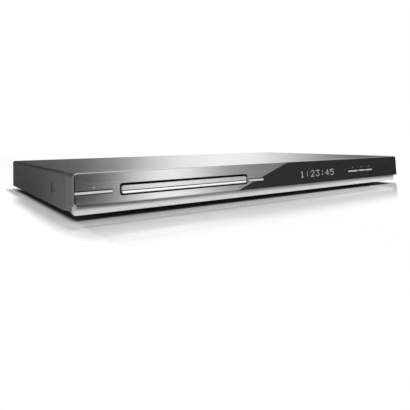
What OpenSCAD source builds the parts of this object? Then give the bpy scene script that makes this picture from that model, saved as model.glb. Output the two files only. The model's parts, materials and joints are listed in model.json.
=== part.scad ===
// Slim full-width disc player with a loading tray.
// Millimetres. X across, -Y is the front, Z up from the floor. Centred in X and Y on the whole box.
// Inside the modules y is measured backwards from the front plane, and loader x from the tray's middle.

/* [Case] */
// width of the player
width = 435; // [400:1:440]
// depth from the front plane to the rear panel
depth = 240; // [236:1:300]
// height from the floor to the cover's top
height = 37; // [36.5:0.5:48]
// floor to the underside of the chassis
foot_height = 6; // [5.7:0.1:9]
// sheet of cover, chassis and rear panel
sheet = 0.8; // [0.6:0.1:1]
// gap between cover, bezel and chassis
case_gap = 0.2; // [0.1:0.05:0.3]
// outer radius of the cover's two bends
cover_bend = 2.5; // [1.5:0.1:3]
// underside of the cover's sides above the underside of the chassis
cover_skirt_up = 0.5; // [0.2:0.1:2]
// height of the chassis side flanges
flange_height = 18; // [16:0.5:22]
// height of the chassis front and rear lips
lip_height = 5; // [3:0.5:6]
// chassis front edge behind the front plane
chassis_front = 7.4; // [7:0.1:9]

/* [Front] */
// depth of the bezel's side and top returns
return_depth = 21.5; // [16:0.5:30]
// bezel wall
bezel_wall = 2.5; // [2:0.1:3]
// wall of the bezel's returns
return_wall = 2; // [1.6:0.1:2.1]
// bezel wall face behind the front plane
bezel_set_back = 2.4; // [2:0.1:3]
// front plane to the bezel's rim
rim_set_back = 0.6; // [0.2:0.1:1]
// bezel underside above the floor
bezel_bottom = 5.1; // [4:0.1:5.5]
// height of the lower strip below the panel
strip_height = 7.2; // [5:0.1:9]
// how far the panel's bottom edge leans forward
panel_lean = 1.7; // [0.5:0.1:3]
// rim shown round the panel
rim = 0.7; // [0.4:0.1:1.2]
// corner radius at the left end
corner_left = 3; // [1:0.1:4]
// corner radius at the right end
corner_right = 2; // [1:0.1:4]
// rounding of the bezel's upright front edges
edge_round = 1.5; // [0.5:0.1:1.6]
// gap round panels and keys
panel_gap = 0.2; // [0.1:0.05:0.3]
// foot of the diagonal joint before the tray mouth's right end
diagonal_before = 13; // [4:0.5:16]
// run of the diagonal joint across the panel
diagonal_run = 70; // [30:1:90]

/* [Keys] */
// middle of the keys above the floor
key_height = 22; // [19:0.1:26]
// height of a bar key
bar_tall = 2.4; // [1.8:0.1:3]
// how far keys stand proud of the panel
key_proud = 0.4; // [0.2:0.05:0.6]
// travel of a key
key_travel = 0.6; // [0.3:0.1:0.9]
// spare gap between a key and its switch
key_spare = 0.1; // [0.05:0.05:0.3]
// length of the power key
power_key_long = 29.7; // [20:0.1:32]
// length of the open/close key
open_key_long = 19.3; // [14:0.1:24]
// gap from the tray mouth to the open/close key
open_key_from_mouth = 1.6; // [1:0.1:4]
// middle of the open/close key below the others
open_key_drop = 0.9; // [0:0.1:2]
// left end of the first small key from the right side
small_keys_side = 105.2; // [98:0.1:118]
// lengths of the three small keys
key_a_long = 18; // [12:0.1:20]
key_b_long = 12.6; // [9:0.1:16]
key_c_long = 12.4; // [9:0.1:16]
// gap between the small keys
small_key_gap = 2.4; // [2:0.1:5]
// height of a small key
small_key_tall = 1.9; // [1.5:0.1:2.6]
// radius of a key's stem
stem_r = 0.9; // [0.7:0.05:0.95]

/* [Tray] */
// tray mouth: its left end, gap beside the door or tray, underside and height
mouth_from = 36.7; // [34:0.1:45]
mouth_side_gap = 1.55; // [1.2:0.05:3]
mouth_low = 17.8; // [17.4:0.1:18.2]
mouth_tall = 9.8; // [9:0.1:10.2]
// corner radius of the mouth
mouth_corner = 2.4; // [0.5:0.1:2.8]
// tray door: width, height and underside above the mouth's
door_wide = 130.2; // [128:0.1:131.5]
door_tall = 6.25; // [5.5:0.05:7.2]
door_up = 1.5; // [1:0.1:2]
// height of the bright trim on the door
trim_tall = 2; // [1.5:0.1:3]
// depth of the trim
trim_deep = 1.2; // [0.8:0.1:1.6]
// shadow groove between the trim and the door's face
door_groove = 0.5; // [0.2:0.1:0.8]
// corner radius of the door's ends
door_corner = 2.2; // [0.5:0.1:2.5]
// tray: width, length and top above the floor
tray_wide = 127; // [126:0.5:128]
tray_long = 174; // [170:0.5:180]
tray_top = 25.2; // [24.9:0.1:25.4]
// tray front face behind the front plane
tray_front = 2; // [1.5:0.1:3]
// whole height of the tray
tray_tall = 6.6; // [6:0.1:6.8]
// height of the skirts and rack under the tray's web
tray_skirt = 2.3; // [2:0.05:2.5]
// skirt wall
skirt_wall = 2.5; // [1.5:0.1:3]
// travel of the tray
tray_travel = 138; // [120:1:140]
// disc seats: radius and depth of the large one, radius and further depth of the small one
seat_r = 60.5; // [60.3:0.1:62]
seat_deep = 2.5; // [1.5:0.1:2.8]
small_seat_r = 40.5; // [40.2:0.1:42]
small_seat_deep = 0.8; // [0.5:0.1:1]
// half width of the slot for turntable and pickup
slot_half = 20; // [18:0.5:24]
// spindle behind the front plane
spindle_y = 78; // [76:0.5:80]
// slot's rear end behind the spindle
slot_back = 59; // [57:0.5:60]

/* [Loader frame] */
// side gap between tray and frame walls
tray_side_gap = 0.5; // [0.3:0.1:0.8]
// running gap under and over the tray
tray_run_gap = 0.1; // [0.05:0.05:0.2]
// frame wall
frame_wall = 2.5; // [2:0.1:3]
// frame front and rear ends behind the front plane
frame_front = 9; // [8.5:0.1:11]
frame_back = 181; // [179:0.5:186]
// gap under the frame
frame_up = 0.3; // [0.2:0.1:0.5]
// top of the frame walls over the tray's top
frame_over_tray = 2.5; // [2:0.1:3]
// width and thickness of the runners beside the tray
runner_wide = 3.2; // [2:0.1:4]
runner_thick = 2; // [1.5:0.1:3]
// hold-down lugs: length and places
lug_long = 8; // [5:0.5:12]
lug_y = [14, 96, 160];
// front deck: thickness, top under the tray's underside, rear edge
deck_thick = 1.6; // [1.2:0.1:2]
deck_under_tray = 3.8; // [3.7:0.1:4]
deck_back = 50; // [49.5:0.1:51]
// screw ears: width, length, thickness, and places
ear_wide = 7.5; // [6.5:0.1:8]
ear_long = 12; // [8:0.5:16]
ear_thick = 2; // [1.5:0.1:2.5]
ear_y = [20, 170];
// standoff under the ears
ear_standoff = 2; // [1.5:0.1:3]
// rear cross member: depth and thickness
rear_member = 26; // [24:0.5:27]
rear_member_thick = 2.4; // [1.5:0.1:3]

/* [Gear train] */
// gear module
gear_module = 0.8; // [0.7:0.05:0.85]
// teeth that drive the rack
rack_gear_teeth = 30; // [28:1:30]
// teeth of the drive gear's large wheel
big_teeth = 40; // [38:2:40]
// teeth of the pinion under the pulley
pinion_teeth = 12; // [12:1:13]
// tooth play
backlash = 0.12; // [0.08:0.02:0.2]
// pitch line of the tray's rack inside the tray's side
rack_in = 17.5; // [16:0.1:18]
// rack thickness behind its pitch line
rack_back = 4; // [3:0.1:5]
// drive gear behind the front plane
gear_y = 31; // [30.5:0.1:31.5]
// thickness of the large wheel
wheel_thick = 2.2; // [1.8:0.1:2.4]
// running gap under gears and pulleys
gear_lift = 0.3; // [0.2:0.05:0.4]
// radial running fit of shafts and bores
fit = 0.05; // [0.02:0.01:0.08]
// gear pin radii
drive_pin_r = 2; // [1.5:0.1:2.5]
pulley_pin_r = 1.5; // [1.2:0.1:1.8]
// pulley rim radius and groove radius
pulley_r = 7.4; // [6.6:0.1:7.5]
pulley_groove_r = 6.2; // [5.4:0.1:6.2]
// motor pulley rim radius and groove radius
small_pulley_r = 3.2; // [2.8:0.1:4]
small_groove_r = 1.8; // [1.5:0.1:2.2]
// pulley height
pulley_tall = 2.3; // [2:0.1:2.4]
// belt section
belt_size = 1.1; // [0.8:0.1:1.2]
// loading motor: radius, height, place
motor_r = 12; // [10:0.1:12.5]
motor_tall = 9; // [7:0.1:9.2]
motor_x = -16; // [-18:0.5:-14]
motor_y = 27; // [26:0.5:29]
// motor cup wall and top plate
cup_wall = 1.8; // [1.2:0.1:2.2]
cup_top = 1.2; // [0.8:0.1:1.3]
// shaft radius
shaft_r = 1; // [0.7:0.05:1.2]

/* [Traverse] */
// tilt of the lowered traverse in degrees
tilt = 3.9; // [3.8:0.05:4.1]
// pivot behind the front plane and above the floor
pivot_y = 160; // [159:0.5:162]
pivot_z = 15.5; // [15.2:0.1:15.9]
// pivot pin radius and grommet radius
pivot_r = 1.5; // [1.2:0.1:1.8]
grommet_r = 2.6; // [2.2:0.1:3]
// half widths at front and rear
traverse_half = 44; // [43:0.1:44.4]
tail_half = 37; // [36:0.1:37.4]
// front edge before the spindle, rear edge of the wide part
traverse_before = 12; // [11.5:0.1:13]
traverse_wide_end = 154; // [153.5:0.1:154.5]
// plate underside and thickness when raised
traverse_low = 16.5; // [16.3:0.1:16.8]
traverse_thick = 2.5; // [2:0.1:2.6]
// front pins: radius, spacing, height when raised, slide plate behind the front plane
cam_pin_r = 1.5; // [1.2:0.1:1.6]
cam_pin_half = 25; // [22:0.5:27]
cam_pin_z = 17.6; // [17.4:0.1:17.7]
cam_y = 57; // [56.6:0.1:57.4]
// cam slider: travel, thickness, play in its slots
cam_travel = 16; // [14:0.5:17]
cam_thick = 2; // [1.6:0.1:2.2]
cam_play = 0.2; // [0.15:0.05:0.25]
// cam slider edges beyond its slots
cam_margin = 0.8; // [0.6:0.1:1]
// spindle motor: radius, underside, height
spindle_r = 11.5; // [10:0.1:12]
spindle_low = 14.2; // [14.1:0.1:14.6]
spindle_tall = 4.4; // [3.5:0.1:4.6]
// turntable: radius, underside, top, hub radius, hub height
table_r = 14.5; // [13:0.1:15]
table_low = 19.4; // [19.3:0.1:19.8]
table_top = 23.9; // [23.6:0.1:24]
hub_r = 7.4; // [7:0.05:7.4]
hub_tall = 1.5; // [1:0.1:1.5]
// guide rods: radius, half spacing, height
rod_r = 1.5; // [1.2:0.1:1.6]
rod_half = 22; // [21.5:0.1:22.5]
rod_z = 16.2; // [16:0.1:16.3]
// pickup: half width, length, underside, top, and radius of the innermost lens place
pickup_half = 17; // [15:0.5:18]
pickup_long = 16.5; // [15:0.1:17]
pickup_low = 14; // [13.8:0.1:14.4]
pickup_top = 19.4; // [19:0.1:19.6]
lens_in = 24; // [23.5:0.1:25]
pickup_travel = 34; // [30:0.5:34]
// lens holder: half width of its block, radius and top
holder_half = 8.5; // [7:0.5:10]
lens_r = 3.2; // [2.5:0.1:3.4]
lens_top = 21.8; // [21.4:0.1:21.9]
// lens travel each way
lens_travel = 0.5; // [0.3:0.05:0.6]
// traverse well beside the rods
well_side = 8; // [7:0.5:8.5]
// lead screw: end before the well's rear edge, radius, place, height
screw_end = 9; // [7:0.5:10]
screw_r = 1.5; // [1.2:0.1:1.6]
screw_x = 33; // [32.8:0.1:33.2]
screw_z = 15.5; // [15.4:0.1:15.6]
// sled motor: radius and length
sled_motor_r = 4.9; // [4:0.1:5]
sled_motor_long = 11.5; // [10:0.1:12]

/* [Clamp] */
// bridge thickness and half depth
bridge_thick = 1; // [0.8:0.1:1.2]
bridge_half = 16; // [15.5:0.5:17.5]
// clamp underside above the tray's top
clamp_over_tray = 0.7; // [0.5:0.1:0.9]
// clamp flange radii and neck radius
clamp_low_r = 16; // [14:0.5:17]
clamp_top_r = 14; // [13:0.5:16]
clamp_neck_r = 10.5; // [9:0.5:11]
// flange thickness, and lift over the bridge
clamp_flange = 1.4; // [1:0.1:1.5]
clamp_lift = 0.3; // [0.2:0.05:0.3]
// gap between neck and bridge
clamp_gap = 1; // [0.6:0.1:1.4]
// magnet radius and thickness
magnet_r = 8; // [6:0.1:8.5]
magnet_thick = 1.5; // [1:0.1:1.8]

/* [Feet and screws] */
// foot radius at the floor side and at the chassis
foot_r = 11; // [9:0.5:14]
foot_top_r = 12.5; // [10:0.5:15]
// pad radius, thickness and how far it is let in
pad_r = 9; // [7:0.5:10]
pad_thick = 1.6; // [1.2:0.1:2]
pad_in = 0.8; // [0.4:0.1:1]
// foot places from the sides, front plane and rear panel
foot_side = 33; // [25:1:60]
foot_from_front = 30; // [24:1:60]
foot_from_rear = 30; // [22:1:60]
// cover screw: place behind the front plane, height, head, shank
cover_screw_y = 56.7; // [45:0.1:70]
cover_screw_z = 20.7; // [19:0.1:21]
screw_head_r = 3.5; // [3:0.1:3.6]
screw_head = 1.1; // [0.8:0.1:1.2]
screw_shank_r = 1.5; // [1.2:0.1:1.7]
screw_long = 5; // [4:0.5:8]
// dimple in the cover round the screw: radius and depth
dimple_r = 6.5; // [5:0.1:7]
dimple_deep = 1.2; // [1:0.1:1.4]
// small screws: head radius, head thickness
small_head_r = 2.6; // [2.2:0.1:2.8]
small_head = 1.2; // [0.8:0.1:1.4]

/* [Rear] */
// jack barrel: length beyond the panel, outer radius, wall
barrel_out = 8; // [7:0.1:9]
barrel_r = 4.15; // [4:0.05:4.2]
barrel_wall = 0.75; // [0.5:0.05:0.9]
// collar of the barrel in the panel: radius, and how far it shows
collar_r = 4.4; // [4.3:0.05:4.45]
collar_out = 0.3; // [0.1:0.1:0.6]
// jack centre hole radius and depth
jack_bore_r = 1.6; // [1.5:0.05:1.7]
jack_bore_deep = 14.5; // [12:0.5:15]
// jack spacing both ways
jack_pitch = 13; // [12:0.5:13.5]
// first jack from the middle, and lower row above the main board
jack_from = 20; // [16:1:30]
jack_row_up = 4.9; // [4.9:0.1:5.5]
// depth of the jack block
jack_block_deep = 15; // [13:0.5:18]
// inlet: middle from the right side, width, height, length, and how far it stands out
inlet_side = 27.5; // [25:0.5:37]
inlet_wide = 24; // [20:0.5:26]
inlet_tall = 16; // [12:0.5:18]
inlet_long = 18; // [16:0.5:20]
inlet_out = 0.8; // [0.4:0.1:1.6]
// inlet cavity: width, height and depth
cavity_wide = 15.8; // [14:0.1:16.5]
cavity_tall = 8.8; // [7.5:0.1:9.5]
cavity_deep = 12.5; // [11:0.1:13]
// inlet pins: radius, radius of the root, spacing, end below the face
inlet_pin_r = 1.2; // [1.1:0.05:1.3]
inlet_root_r = 1.6; // [1.4:0.05:1.8]
inlet_pin_pitch = 8.6; // [8:0.1:9]
inlet_pin_in = 1.5; // [1:0.1:3]
// vents in the rear panel: count, width, height, spacing
vents = 9; // [4:1:10]
vent_wide = 2.5; // [2:0.1:3]
vent_tall = 14; // [8:0.5:15]
vent_pitch = 5.5; // [5:0.1:6]
// first vent from the power board's left edge
vent_in = 2; // [0:0.5:6]
// upper rear screw before the vents, and rear screws from the sides
rear_screw_vent = 18; // [12:0.5:22]
rear_screw_side = 27.5; // [20:0.5:36]

/* [Boards] */
// board thickness and standoff height
board_thick = 1.6; // [1:0.1:2]
board_standoff = 4; // [3:0.1:5]
// main board: gap to the loader's ears, gap to the power board, depth
main_gap = 10.15; // [8:0.05:12]
main_to_power = 8; // [6:0.5:12]
main_deep = 104; // [95:1:112]
// gap from boards to the rear panel
board_rear_gap = 10; // [9:0.5:12]
// power board: right edge from the right side, width, depth
power_side = 9.5; // [8:0.5:12]
power_wide = 102; // [98:1:105]
power_deep = 108; // [95:1:112]
// screw place from a board's edges
board_inset = 5; // [4:0.5:6]
// front board: left edge before the open/close key's stem, right edge from the right side,
// underside, height, face behind the front plane
front_before = 6.4; // [5:0.1:7]
front_side = 27.5; // [16:0.5:34]
front_low = 10.5; // [10:0.1:11.5]
front_tall = 23; // [20:0.5:23.5]
front_board_y = 14; // [13.5:0.1:16]
// tact switch: side, body depth, button radius and length
switch_side = 6; // [5:0.1:6.5]
switch_body = 3.4; // [3:0.1:4]
switch_button_r = 1.6; // [1.2:0.1:1.8]
switch_button = 0.7; // [0.4:0.1:0.9]
// display tube: gap to the first small key, length, underside, height, depth
tube_gap = 19.1; // [15:0.1:22]
tube_long = 76; // [66:0.5:84]
tube_low = 16; // [15:0.1:18]
tube_tall = 14; // [12:0.5:16]
tube_deep = 6; // [5:0.1:6.5]
// display window in the bezel: margin inside the tube
window_in = 3; // [2:0.1:4]
// front ribbon: left edge from the main board's, width, height on the front board
ribbon_at = 32; // [24:1:40]
ribbon_up = 9; // [7:0.5:12]
ribbon_wide = 16; // [12:1:20]
// connectors between the boards: front end from the rear edge
power_link_row = 60; // [56:1:64]
// loader's connectors behind the front plane
link_y = 173; // [171:0.5:174]
// transformer: half width of its core, height
transformer_half = 14; // [12:0.5:15]
transformer_tall = 17; // [14:0.5:18]
// transformer and heat sink: places from the power board's left and rear edges
transformer_at = 62; // [58:1:66]
sink_at = 24; // [20:1:28]
tall_row = 62; // [60:1:66]
// large capacitor and fuse: places from the same edges, and the capacitor's height
cap_at = 84; // [82:1:90]
cap_row = 44; // [40:1:48]
fuse_row = 72; // [70:1:76]
cap_tall = 20; // [16:0.5:21]
// small capacitors: first place, spacing, row from the rear edge
small_cap_at = 12; // [10:1:14]
small_cap_pitch = 11; // [9:0.5:12]
small_cap_row = 30; // [28:1:34]
// signal capacitors: first place, spacing, row on the main board
signal_cap_at = 16; // [12:1:20]
signal_cap_pitch = 9; // [7:0.5:10]
signal_cap_row = 84; // [80:1:88]
// chassis vents: first place from the power board's edge, spacing, first row, row spacing
floor_vent_at = 14; // [12:1:20]
floor_vent_pitch = 10; // [8:0.5:12]
floor_vent_y = 40; // [36:1:46]
floor_vent_row = 24; // [22:1:28]

/* [Hidden] */
$fn = 48;
hw = width / 2;
front_y = -(depth + barrel_out - panel_lean) / 2;
floor_z = foot_height + sheet;
panel_low = bezel_bottom + strip_height + 0.1;
panel_high = height - rim + 0.1;
panel_left = -hw + rim;
panel_right = hw - rim;
wall_back = bezel_set_back + bezel_wall;
return_in = hw - return_wall;
flange_out = hw - max(return_wall, dimple_deep + sheet) - case_gap;
cover_in = hw - sheet;
rear_in = depth - sheet;
lip_back = rear_in - case_gap / 2;
mouth_wide = max(door_wide, tray_wide) + 2 * mouth_side_gap;
loader_x = -hw + mouth_from + mouth_wide / 2;
mouth_l = -hw + mouth_from;
mouth_r = mouth_l + mouth_wide;
tray_low = tray_top - tray_tall;
web_low = tray_low + tray_skirt;
tray_back = tray_front + tray_long;
wall_in = tray_wide / 2 + tray_side_gap;
wall_out = wall_in + frame_wall;
frame_low = floor_z + frame_up;
frame_top = tray_top + frame_over_tray;
deck_top = tray_low - deck_under_tray;
ear_low = floor_z + ear_standoff;
rack_x = tray_wide / 2 - rack_in;
rack_gear_r = gear_module * rack_gear_teeth / 2;
big_r = gear_module * big_teeth / 2;
pinion_r = gear_module * pinion_teeth / 2;
gear_x = rack_x - rack_gear_r;
pulley_x = gear_x - big_r - pinion_r;
wheel_low = deck_top + gear_lift;
wheel_top = wheel_low + wheel_thick;
gear_top = web_low - gear_lift;
pulley_low = gear_top - pulley_tall;
motor_top = gear_top - pulley_tall - 2 * gear_lift - cup_top;
motor_low = motor_top - motor_tall;
traverse_front = spindle_y - traverse_before;
traverse_top = traverse_low + traverse_thick;
cam_mid_y = cam_y + cam_thick / 2;
cam_drop = (pivot_y - cam_mid_y) * sin(tilt) + (cam_pin_z - pivot_z) * (1 - cos(tilt));
cam_slot_r = cam_pin_r + cam_play;
cam_low = cam_pin_z - cam_drop - cam_slot_r - cam_margin;
cam_top = cam_pin_z + cam_slot_r + cam_margin;
cam_member_top = cam_low - case_gap;
pickup_front = spindle_y + table_r + 2;
lens_y = spindle_y + lens_in;
well_front = pickup_front - 1.5;
well_back = pickup_front + pickup_long + pickup_travel + 1.5;
well_half = rod_half + well_side;
screw_back = well_back - screw_end;
bridge_low = frame_top;
bridge_top = bridge_low + bridge_thick;
clamp_low = tray_top + clamp_over_tray;
clamp_high = bridge_top + clamp_lift;
board_low = floor_z + board_standoff;
board_top = board_low + board_thick;
board_back = depth - board_rear_gap;
power_to = hw - power_side;
power_from = power_to - power_wide;
main_to = power_from - main_to_power;
main_from = loader_x + wall_out + ear_wide + main_gap;
inlet_x = hw - inlet_side;
vent_from = power_from + vent_in;
jack_low = board_top + jack_row_up;
jacks = concat([for (i = [0:3]) [jack_from + i * jack_pitch, jack_low]],
               [for (i = [0:2]) [jack_from + i * jack_pitch, jack_low + jack_pitch]]);
inlet_z = board_top + inlet_tall / 2;
inlet_back = depth + inlet_out;
dimple_floor = hw - dimple_deep;
small_keys_from = hw - small_keys_side;
key_b_from = small_keys_from + key_a_long + small_key_gap;
key_c_from = key_b_from + key_b_long + small_key_gap;
open_key_x0 = mouth_r + open_key_from_mouth;
open_key_z = key_height - open_key_drop;
switch_face = front_board_y - switch_body;
button_face = switch_face - switch_button;
stem_end = button_face - key_travel - key_spare;
power_stem_x = panel_left + power_key_long / 2;
open_stem_x = open_key_x0 + open_key_long - 5;
key_stems = [[power_stem_x, key_height], [open_stem_x, open_key_z],
             [small_keys_from + key_a_long / 2, key_height],
             [key_b_from + key_b_long / 2, key_height],
             [key_c_from + key_c_long / 2, key_height]];
front_from = open_stem_x - front_before;
front_to = hw - front_side;
tube_from = small_keys_from - tube_gap - tube_long;
ribbon_x = main_from + ribbon_at;
front_boss_xs = [front_from + board_inset + 1, (tube_from + tube_long + small_keys_from) / 2,
                 front_to - board_inset];
front_boss_z = front_low + front_tall - board_inset;
key_board_half = 11;
foot_xs = [-hw + foot_side, hw - foot_side];
foot_ys = [foot_from_front, depth - foot_from_rear];
main_holes = [for (x = [main_from + board_inset, main_to - board_inset],
                   y = [board_back - main_deep + board_inset, board_back - jack_block_deep - board_inset])
              [x, y]];
power_holes = [for (x = [power_from + board_inset, power_to - board_inset],
                    y = [board_back - power_deep + board_inset, board_back - inlet_long - board_inset])
               [x, y]];
ear_xs = [-wall_out - ear_wide / 2 + 0.4, wall_out + ear_wide / 2 - 0.4];
ear_holes = [for (x = ear_xs, y = ear_y) [loader_x + x, y]];
rear_screw_x = hw - rear_screw_side;
rear_screw_low = [for (x = [-rear_screw_x, 0, rear_screw_x]) [x, foot_height + lip_height / 2 + 0.4]];
rear_screw_high = [[-rear_screw_x, height - 5], [vent_from - rear_screw_vent, height - 5]];

// ---- shared shapes ----

module box(x0, x1, y0, y1, z0, z1) {
  translate([x0, y0, z0]) cube([x1 - x0, y1 - y0, z1 - z0]);
}

module rod_x(r, x0, x1, y, z) {
  translate([x0, y, z]) rotate([0, 90, 0]) cylinder(r = r, h = x1 - x0);
}

module rod_y(r, y0, y1, x, z) {
  translate([x, y0, z]) rotate([-90, 0, 0]) cylinder(r = r, h = y1 - y0);
}

module rod_z(r, z0, z1, x, y) {
  translate([x, y, z0]) cylinder(r = r, h = z1 - z0);
}

// y from the front plane
module from_front() {
  translate([0, front_y, 0]) children();
}

// y from the front plane, x from the tray's middle
module in_loader() {
  translate([loader_x, front_y, 0]) children();
}

// the traverse is drawn raised and stands lowered by its tilt
module on_traverse() {
  in_loader()
    translate([0, pivot_y, pivot_z]) rotate([tilt, 0, 0]) translate([0, -pivot_y, -pivot_z]) children();
}

function arc(cx, cy, r, a0, a1, n) = [for (i = [0:n]) let (a = a0 + (a1 - a0) * i / n)
                                      [cx + r * cos(a), cy + r * sin(a)]];

// outline of a rectangle with its own radius at each corner, from the low left one round
function rounded(x0, x1, z0, z1, a, b, c, d) = concat(
  arc(x0 + a, z0 + a, a, 180, 270, 6), arc(x1 - b, z0 + b, b, 270, 360, 6),
  arc(x1 - c, z1 - c, c, 0, 90, 6), arc(x0 + d, z1 - d, d, 90, 180, 6));

// an outline in X and Z pushed along Y
module along_y(y0, y1, points) {
  translate([0, y1, 0]) rotate([90, 0, 0]) linear_extrude(y1 - y0) polygon(points);
}

// an outline in Y and Z pushed along X
module along_x(x0, x1, points) {
  translate([x0, 0, 0]) rotate([90, 0, 90]) linear_extrude(x1 - x0) polygon(points);
}

// a screw with a cross recess: it stands on z = 0 with its shank downwards
module cross_screw(head_r, head, shank_r, long) {
  difference() {
    union() {
      cylinder(r = head_r, h = head);
      translate([0, 0, -long]) cylinder(r = shank_r, h = long + head / 2);
    }
    for (a = [0, 90])
      rotate([0, 0, a]) translate([-head_r * 0.55, -0.3, head * 0.4]) cube([head_r * 1.1, 0.6, head]);
  }
}

function inv(a) = tan(a) * 180 / PI - a;

// half the angle of a tooth at radius r, 20 degree involute
function tooth_half(m, n, r) =
  let (rp = m * n / 2, rb = rp * cos(20), phi = r > rb ? acos(rb / r) : 0)
  90 / n - backlash / 4 / rp * 180 / PI + inv(20) - inv(phi);

function gear_outline(m, n) =
  let (rp = m * n / 2, rs = [rp - 1.2 * m, max(rp * cos(20), rp - m), rp, rp + 0.5 * m, rp + m])
  [for (i = [0:n - 1], k = [0:9])
    let (r = rs[k < 5 ? k : 9 - k], a = 360 * i / n + (k < 5 ? -1 : 1) * tooth_half(m, n, r))
    [r * cos(a), r * sin(a)]];

module gear(m, n, thick) {
  linear_extrude(thick) polygon(gear_outline(m, n));
}

// rack along +Y with a tooth gap at y = 0, teeth towards -X from the pitch line x = 0
function rack_outline(m, first, last, back) =
  let (p = PI * m, t = p / 4 - backlash / 4, u = tan(20))
  concat([[back, first * p], [1.2 * m, first * p]],
    [for (i = [first:last - 1], k = [0:3]) let (s = k < 2 ? -1 : 1, tip = k == 1 || k == 2)
      [tip ? -m : 1.2 * m, (i + 0.5) * p + s * (t - (tip ? m * u : -1.2 * m * u))]],
    [[1.2 * m, last * p], [back, last * p]]);

// ---- case ----

module top_cover() {
  color([0.72, 0.73, 0.74]) from_front() difference() {
    union() {
      difference() {
        along_y(return_depth + case_gap, depth,
                rounded(-hw, hw, foot_height + cover_skirt_up, height, 0.01, 0.01, cover_bend, cover_bend));
        along_y(return_depth - 5, depth + 5,
                rounded(-cover_in, cover_in, -5, height - sheet, 0.01, 0.01,
                        cover_bend - sheet, cover_bend - sheet));
      }
      for (s = [-1, 1])
        rod_x(dimple_r, min(s * hw, s * (dimple_floor - sheet)), max(s * hw, s * (dimple_floor - sheet)),
              cover_screw_y, cover_screw_z);
      for (p = rear_screw_high)
        box(p[0] - 8, p[0] + 8, lip_back - sheet, lip_back, p[1] - 4, height - sheet / 2);
    }
    for (s = [-1, 1]) {
      rod_x(dimple_r - sheet, min(s * dimple_floor, s * (hw + 1)), max(s * dimple_floor, s * (hw + 1)),
            cover_screw_y, cover_screw_z);
      rod_x(screw_shank_r + fit, min(s * (dimple_floor - 3), s * hw), max(s * (dimple_floor - 3), s * hw),
            cover_screw_y, cover_screw_z);
    }
    for (p = rear_screw_high)
      rod_y(screw_shank_r + fit, lip_back - 2, lip_back + 0.05, p[0], p[1]);
  }
}

module standoff(x, y, top) {
  rod_z(3, floor_z - sheet / 2, top, x, y);
}

module bottom_chassis() {
  color([0.62, 0.64, 0.66]) from_front() difference() {
    union() {
      box(-flange_out, flange_out, chassis_front, lip_back, foot_height, floor_z);
      for (s = [-1, 1])
        box(min(s * flange_out, s * (flange_out - sheet)), max(s * flange_out, s * (flange_out - sheet)),
            chassis_front, lip_back, foot_height, foot_height + flange_height);
      box(-flange_out, flange_out, chassis_front, chassis_front + sheet,
          foot_height, foot_height + lip_height);
      box(-flange_out, flange_out, lip_back - sheet, lip_back, foot_height, foot_height + lip_height);
      for (p = concat(main_holes, power_holes)) standoff(p[0], p[1], board_low);
      for (p = ear_holes) standoff(p[0], p[1], ear_low);
    }
    for (p = concat(main_holes, power_holes, ear_holes))
      rod_z(1.2 + fit, foot_height - 1, board_low + 1, p[0], p[1]);
    for (s = [-1, 1])
      rod_x(screw_shank_r + fit, min(s * (flange_out - 3), s * hw), max(s * (flange_out - 3), s * hw),
            cover_screw_y, cover_screw_z);
    for (p = rear_screw_low)
      rod_y(screw_shank_r + fit, lip_back - 3, lip_back + 1, p[0], p[1]);
    for (i = [0:4], j = [0, 1])
      translate([power_from + floor_vent_at + i * floor_vent_pitch, floor_vent_y + j * floor_vent_row, 0])
        box(0, floor_vent_pitch * 0.4, 0, floor_vent_row * 0.75, foot_height - 1, floor_z + 1);
  }
}

module rear_panel() {
  color([0.2, 0.2, 0.21]) from_front() difference() {
    along_y(rear_in, depth,
            rounded(-cover_in + case_gap, cover_in - case_gap, foot_height + case_gap,
                    height - sheet - case_gap, 0.5, 0.5, cover_bend, cover_bend));
    for (p = jacks) rod_y(collar_r + fit, rear_in - 1, depth + 1, p[0], p[1]);
    box(inlet_x - inlet_wide / 2 - 0.3, inlet_x + inlet_wide / 2 + 0.3, rear_in - 1, depth + 1,
        board_top - 0.3, board_top + inlet_tall + 0.3);
    for (p = concat(rear_screw_low, rear_screw_high))
      rod_y(screw_shank_r + fit, rear_in - 1, depth + 1, p[0], p[1]);
    for (i = [0:vents - 1])
      box(vent_from + i * vent_pitch, vent_from + i * vent_pitch + vent_wide, rear_in - 1, depth + 1,
          board_top + 2, board_top + 2 + vent_tall);
  }
}

module bezel_outline_block(y0, y1, low) {
  intersection() {
    along_y(y0, y1, rounded(-hw, hw, low, height, corner_left, corner_right, corner_right, corner_left));
    linear_extrude(height + 1)
      polygon(rounded(-hw, hw, y0, y1 + 1, edge_round, edge_round, 0.01, 0.01));
  }
}

module mouth_cut(y0, y1) {
  along_y(y0, y1, rounded(mouth_l, mouth_r, mouth_low, mouth_low + mouth_tall,
                          mouth_corner, mouth_corner, mouth_corner, mouth_corner));
}

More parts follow.
